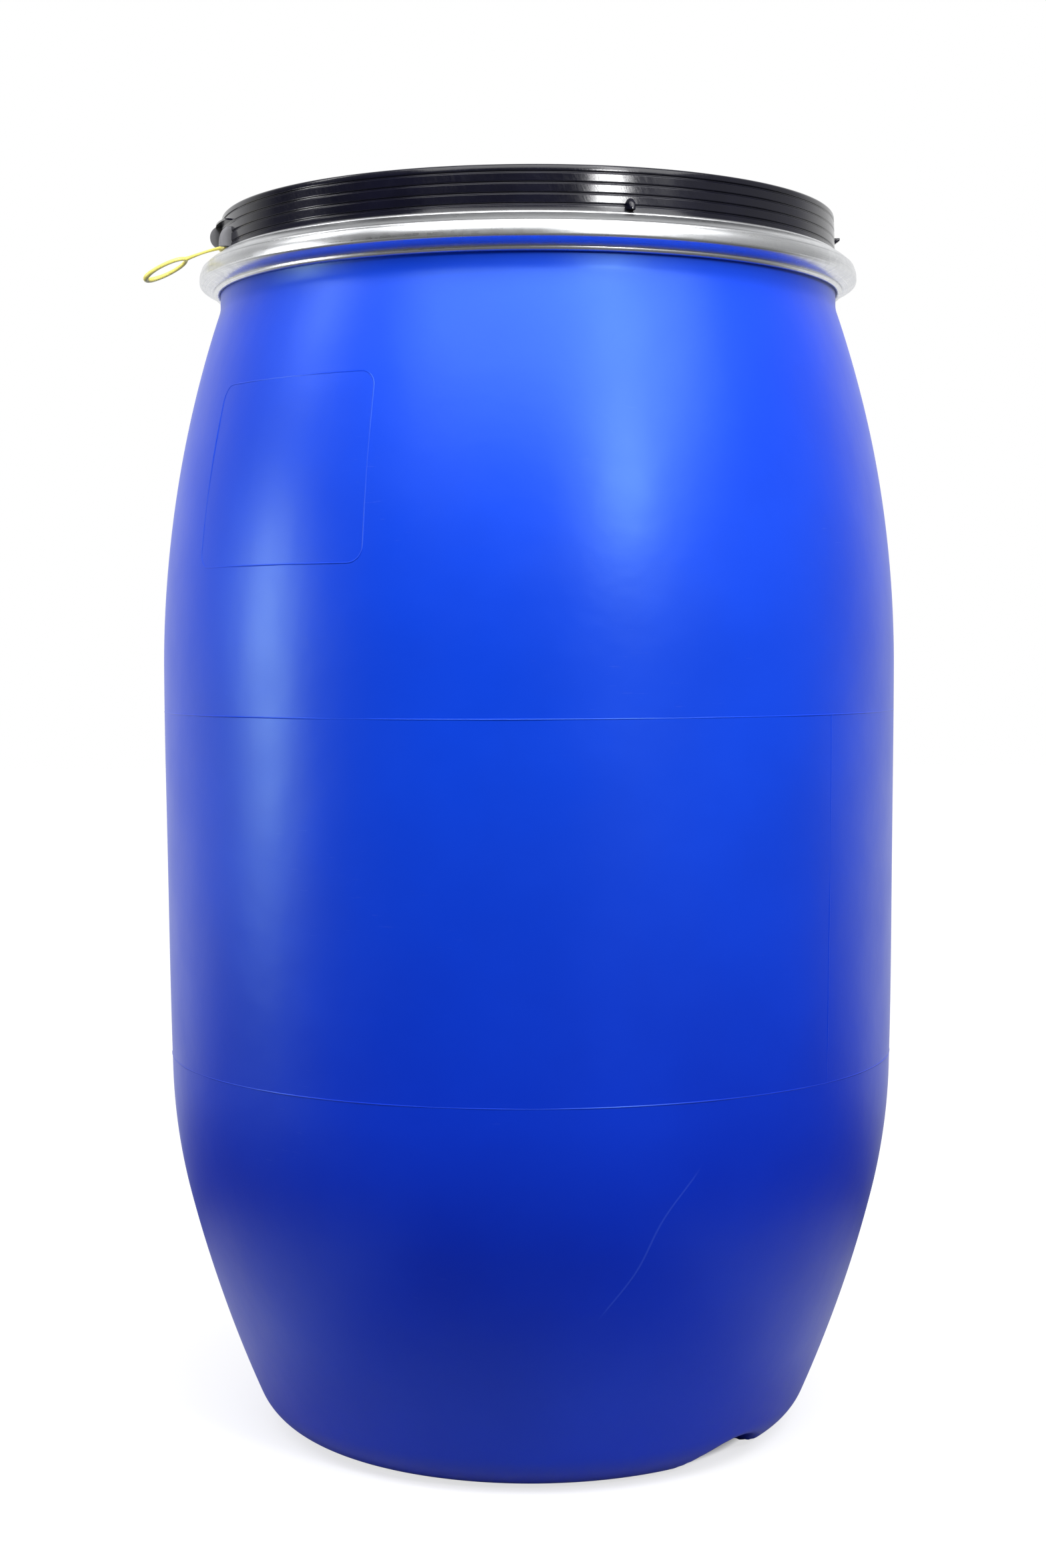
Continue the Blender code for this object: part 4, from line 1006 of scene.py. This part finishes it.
CLOSURE_SHEET = 0.0015
RIVET_HEAD, RIVET_SHANK, RIVET_RISE = 0.0028, 0.0015, 0.0011
seat = RING_RADIUS + CLOSURE_SHEET + 2 * CLEAR
tail = RING_RADIUS - RING_SHEET - seat
dome = [(RIVET_HEAD * sin(radians(a)), RIVET_RISE * cos(radians(a))) for a in range(0, 91, 9)]
rivet = turned_small("one_rivet", dome + [(RIVET_SHANK, 0.0), (RIVET_SHANK, tail), (0.0, tail)])
rivet.data.transform(Matrix.Rotation(pi / 2, 4, "Y"))

RIVET_PITCH = 0.0095
CATCH_RIVET_PITCH = 0.0170
BRACKET_RUN = 0.0160
EAR_NOSE = 0.0042
PIN_REACH = 0.0235
LINK_LENGTH = 0.0610
PIN_ANGLE = PIVOT_ANGLE + PIN_REACH / RING_RADIUS
CATCH_ANGLE = PIN_ANGLE - LINK_LENGTH / RING_RADIUS
first = PIVOT_ANGLE + (BRACKET_RUN - EAR_NOSE - RIVET_PITCH) / 2 / RING_RADIUS
rivet_angles = [first, first + RIVET_PITCH / RING_RADIUS]
rivet_angles += [CATCH_ANGLE + side * CATCH_RIVET_PITCH / 2 / RING_RADIUS for side in (-1, 1)]
rivet_spots = [polar(seat, angle, MOUTH) for angle in rivet_angles]
closure_rivets = set_round("closure_rivets", rivet, rivet_spots, steel)


def pin_profile(half_grip):
    head = [(0.0, 0.0012), (0.0019, 0.0012), (0.0028, 0.0010), (0.0033, 0.0006), (0.0034, 0.0002)]
    head += [(0.0033, 0.0), (0.0020, 0.0)]
    top = [(r, half_grip + z) for r, z in head]
    return top + [(r, -z) for r, z in reversed(top)]


EAR_INSIDE = 0.0065
PIVOT_STANDOFF = 0.0093
PIN_STANDOFF = 0.0075
LEVER_TOP = EAR_INSIDE + 2 * CLOSURE_SHEET + CLEAR
grip = (LEVER_TOP - EAR_INSIDE) / 2 + CLEAR
pivot = turned_small("one_pivot", pin_profile(grip))
centre = (LEVER_TOP + EAR_INSIDE) / 2
spots = [polar(RING_RADIUS + PIVOT_STANDOFF, PIVOT_ANGLE, MOUTH + side * centre) for side in (1, -1)]
lever_pivots = set_round("lever_pivots", pivot, spots, steel)
strap_pin = turned_small("strap_pin", pin_profile(LEVER_TOP + CLEAR))
strap_pin.data.transform(Matrix.Translation(polar(RING_RADIUS + PIN_STANDOFF, PIN_ANGLE, MOUTH)))

# %% [markdown]
# ## Pull seal
# The seal is one thin yellow moulding: a bar behind the nose, a stem, and a loop for the finger that is
# thicker at its far end. It hangs out to the left and droops. The bead tree draws all three from paths
# that carry their own thickness at each point, so the loop can swell and the stem can taper.

# %% Pull seal
SEAL_ANGLE = radians(198)
SEAL_DROOP = radians(14.6)
LOOP_DROOP = radians(10)
SEAL_STEM = 0.0262
LOOP_LENGTH = 0.0290
LOOP_WIDTH = 0.0165
STEM_BEAD, LOOP_BEAD, BAR_BEAD = 0.0024, 0.0026, 0.0030
BAR_STANDOFF = 0.0020
SEAL_TURN = radians(30)
SEAL_TWIST = radians(6)
root = polar(NECK_RADIUS + BAR_STANDOFF, SEAL_ANGLE, MOUTH + lip_rise(LIP_EDGE) + BAR_STANDOFF)
out = SEAL_ANGLE - SEAL_TURN
along = Vector((cos(out) * cos(SEAL_DROOP), sin(out) * cos(SEAL_DROOP), -sin(SEAL_DROOP)))
level = Vector((0.0, 0.0, 1.0)).cross(along).normalized()
across = Matrix.Rotation(SEAL_TWIST, 3, along) @ level
upward = along.cross(across)
hang = along * cos(LOOP_DROOP) - upward * sin(LOOP_DROOP)

stem, stem_widths = [], []
for k in range(21):
    share = k / 20
    stem.append(root + along * (SEAL_STEM * share) + upward * (0.0006 * sin(pi * share)))
    waisted = STEM_BEAD - 0.0006 * sin(pi * min(1.0, share * 1.1))
    stem_widths.append(waisted + 0.0080 * max(0.0, share - 0.9))
loop, loop_widths = [], []
middle = root + along * SEAL_STEM + hang * (LOOP_LENGTH / 2)
for k in range(72):
    turn = 2 * pi * k / 72
    far = (1 + cos(turn)) / 2
    loop.append(middle + hang * (LOOP_LENGTH / 2 * cos(turn)) + across * (LOOP_WIDTH / 2 * sin(turn)))
    loop_widths.append(LOOP_BEAD + 0.0010 * far**4)
nose_face = SIDE_NOSES[0] - (NOSE_WIDTH / 2 + CLEAR) / NECK_RADIUS
half = nose_face - SEAL_ANGLE
bar = [polar(root.xy.length, SEAL_ANGLE + half * (k / 8 - 1), root.z) for k in range(17)]
paths = [(stem, stem_widths, False), (loop, loop_widths, True), (bar, [BAR_BEAD] * 17, False)]
pull_seal = bake("pull_seal", bead_guide("pull_seal", paths), bead, {"Sides": 14, "Finish": yellow})
print(f"pull_seal: {len(pull_seal.data.polygons)} faces, loop {LOOP_LENGTH * 1000:.0f} mm long")

# %% [markdown]
# ## Which piece moves with what
# Every piece rides on a body of the frame, so that the lid lifts with its ring and seal, the lever swings
# and the strap follows, and the solids it stands for are hidden. Parenting each piece by hand would move
# it too, but one table shows at a glance what belongs to what.

# %% Ride the bodies
RIVETS = ["bracket_rivet_1", "bracket_rivet_2", "catch_rivet_1", "catch_rivet_2"]
riders = [
    (drum_shell, "drum", "blue_plastic", ["drum_body"]),
    (mould_seams, "drum", "blue_plastic", []),
    (lid_shell, "lid", "black_plastic", ["drum_lid"]),
    (front_noses, "lid", "black_plastic", []),
    (side_noses, "lid", "black_plastic", []),
    (lid_cheek, "lid", "black_plastic", []),
    (lid_web, "lid", "black_plastic", []),
    (lid_nub, "lid", "black_plastic", []),
    (gasket_cord, "lid", "gasket_rubber", ["lid_gasket"]),
    (clamp_ring, "lid", "galvanised_steel", ["ring_band"]),
    (bracket_saddle, "lid", "galvanised_steel", ["lever_bracket"]),
    (catch_plate, "lid", "galvanised_steel", ["catch_bracket"]),
    (closure_rivets, "lid", "galvanised_steel", RIVETS),
    (lever_pivots, "lid", "galvanised_steel", ["lever_pivot_upper", "lever_pivot_lower"]),
    (lever_arm, "lever", "galvanised_steel", ["closing_lever"]),
    (strap_pin, "lever", "galvanised_steel", ["link_pin"]),
    (hook_strap, "link", "galvanised_steel", ["hook_link"]),
    (pull_seal, "lid", "yellow_plastic", ["security_seal"]),
]
for piece, body, slot, nodes in riders:
    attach(piece, body)
    if nodes:
        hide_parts(*nodes)

# %% [markdown]
# ## Floor and surroundings
# The drum stands on white paper in a white studio. To the camera the floor is plain white, apart from
# the soft shadow at the foot, which is partly real and partly a painted shadow: right round the foot the
# floor's white glow is turned down. The paper throws some light up under the heel. The room in front is
# dim, as it is behind a camera, so gloss shows white only beside and behind the drum, and the world
# follows the same rule: white behind, a soft ceiling, and a dim wall at the right. An even white dome
# would be simpler, but it turns the gloss of the whole wall milky.

# %% Floor and world
def looked_at(tree):
    """A mask that is 1 for rays from the camera or through clear things, and the kinds of rays."""
    rays = add(tree, "ShaderNodeLightPath").outputs
    return calc(tree, "MAXIMUM", rays["Is Camera Ray"], rays["Is Transmission Ray"]), rays


floor_finish, tree, shader = new_finish("studio_floor", (0.40, 0.40, 0.40), 0.9, Specular_IOR_Level=0.0)
east, north, _ = split(tree, object_point(tree))
away = from_axis(tree, east, north)
paper = blend_colour(tree, spread(tree, away, 0.24, 0.38), (0.40, 0.40, 0.40), (0.10, 0.10, 0.10))
join(tree, shader.inputs["Base Color"], paper)
seen, rays = looked_at(tree)
to_side = calc(tree, "ABSOLUTE", east)
beside = times(tree, spread(tree, to_side, 0.17, 0.32), spread(tree, away, 0.36, 0.60, 0.6, 0.0))
behind = calc(tree, "MAXIMUM", spread(tree, north, 0.2, 1.2), spread(tree, away, 1.2, 2.5, 0.0, 0.2))
far_white = calc(tree, "MAXIMUM", beside, behind)
lit_white = spread(tree, away, 0.24, 0.40, 0.68, 1.0)
# Painted shadow: from 0.162 m to 0.146 m off the axis the glow seen by the camera falls to a quarter,
# darkening the floor close round the foot.
camera_white_with_painted_shadow = calc(tree, "MINIMUM", lit_white, spread(tree, away, 0.146, 0.162, 0.25, 1.0))
mirrored = times(tree, rays["Is Glossy Ray"], far_white)
white = plus(tree, times(tree, seen, camera_white_with_painted_shadow), mirrored)
glow = add(tree, "ShaderNodeEmission", {"Color": (1.0, 1.0, 1.0, 1.0)})
join(tree, glow.inputs["Strength"], white)
both = add(tree, "ShaderNodeAddShader", {0: shader.outputs["BSDF"], 1: glow.outputs["Emission"]})
tree.links.new(both.outputs["Shader"], tree.nodes["Material Output"].inputs["Surface"])

floor_corners = [(-9, -9, 0), (9, -9, 0), (9, 9, 0), (-9, 9, 0)]
floor = new_object("studio_floor", plain_mesh("studio_floor", floor_corners, faces=[(0, 1, 2, 3)]))
floor.data.materials.append(floor_finish)

world = bpy.data.worlds.new("white_studio")
bpy.context.scene.world = world
world.use_nodes = True
tree = world.node_tree
backdrop = tree.nodes["Background"]
seen, _ = looked_at(tree)
right, ahead, up = split(tree, add(tree, "ShaderNodeTexCoord").outputs["Generated"])
ceiling = times(tree, spread(tree, up, 0.08, 0.6, 0.02, 0.5), spread(tree, right, -0.6, 0.4, 0.8, 1.0))
side_wall = times(tree, spread(tree, right, 0.3, 0.8, 0.0, 0.35), spread(tree, up, -0.15, 0.05))
band = times(tree, spread(tree, up, 0.08, 0.20), spread(tree, up, 0.45, 0.65, 1.0, 0.0))
glow = times(tree, spread(tree, right, -0.05, 0.45, 0.0, 0.15), band)
sides = plus(tree, side_wall, glow)
studio = calc(tree, "MAXIMUM", spread(tree, ahead, 0.15, 0.75), calc(tree, "MAXIMUM", ceiling, sides))
join(tree, backdrop.inputs["Strength"], calc(tree, "MAXIMUM", seen, studio))
backdrop.inputs["Color"].default_value = (1.0, 1.0, 1.0, 1.0)
print("floor and world ready")

# %% [markdown]
# ## Lamps
# Five soft boxes do the work of the studio. A wide one hangs close in front of and above the drum, so it
# lights the shoulder more than the foot. A tall one at the front right draws the upright reflection on
# the shoulder, and a small one below it the glint on the lid. Two at the far left draw the long
# reflection there, with a gap between them that keeps the lid's skirt dark. The camera doesn't see the
# boxes themselves, because in other views one of them would stand in front of the drum.

# %% Soft boxes
def soft_box(name, place, target, size, power):
    lamp = bpy.data.lights.new(name, "AREA")
    lamp.shape = "RECTANGLE"
    lamp.size, lamp.size_y = size
    lamp.energy = power
    holder = new_object(name, lamp)
    holder.location = place
    holder.visible_camera = False
    holder.rotation_euler = (Vector(target) - Vector(place)).to_track_quat("-Z", "Y").to_euler()


def around(azimuth, distance, height):
    """A place by its angle to the right of the front."""
    return (distance * sin(radians(azimuth)), -distance * cos(radians(azimuth)), height)


soft_box("right_soft_box", around(31, 2.0, 2.15), (0, 0, 0.70), (0.35, 1.7), 12)
soft_box("rim_soft_box", around(28, 2.0, 1.24), (0, 0, 0.78), (0.36, 0.14), 12.5)
soft_box("left_soft_box", around(-82, 2.2, 0.65), (0, 0, 0.60), (0.32, 0.78), 16)
soft_box("high_left_soft_box", around(-82, 2.2, 2.26), (0, 0, 0.65), (0.32, 1.08), 12)
soft_box("key_soft_box", (0.3, -0.85, 1.50), (0.3, 0, 0.50), (2.2, 0.9), 26)
print("five soft boxes")

# %% [markdown]
# ## Camera
# The camera stands 1.6 m away, a little above the drum's middle, and looks down by about three degrees.
# It could be placed by eye, but the ellipses of the ring and the foot fix the angle and the distance.

# %% Camera
CAMERA_PLACE = (-0.0045, -1.6252, 0.5167)
CAMERA_DIP = radians(3.176)
CAMERA_ROLL = -0.0038
lens = bpy.data.cameras.new("front_camera")
lens.sensor_fit = "VERTICAL"
lens.sensor_height = 36.0
lens.lens = 55.375
lens.clip_end = 60.0
camera = new_object("front_camera", lens)
tilt = Matrix.Rotation(pi / 2 - CAMERA_DIP, 4, "X") @ Matrix.Rotation(CAMERA_ROLL, 4, "Z")
camera.matrix_world = Matrix.Translation(CAMERA_PLACE) @ tilt
bpy.context.scene.camera = camera
bpy.context.scene.view_settings.view_transform = "Standard"
print("camera at", tuple(round(v, 3) for v in camera.location))
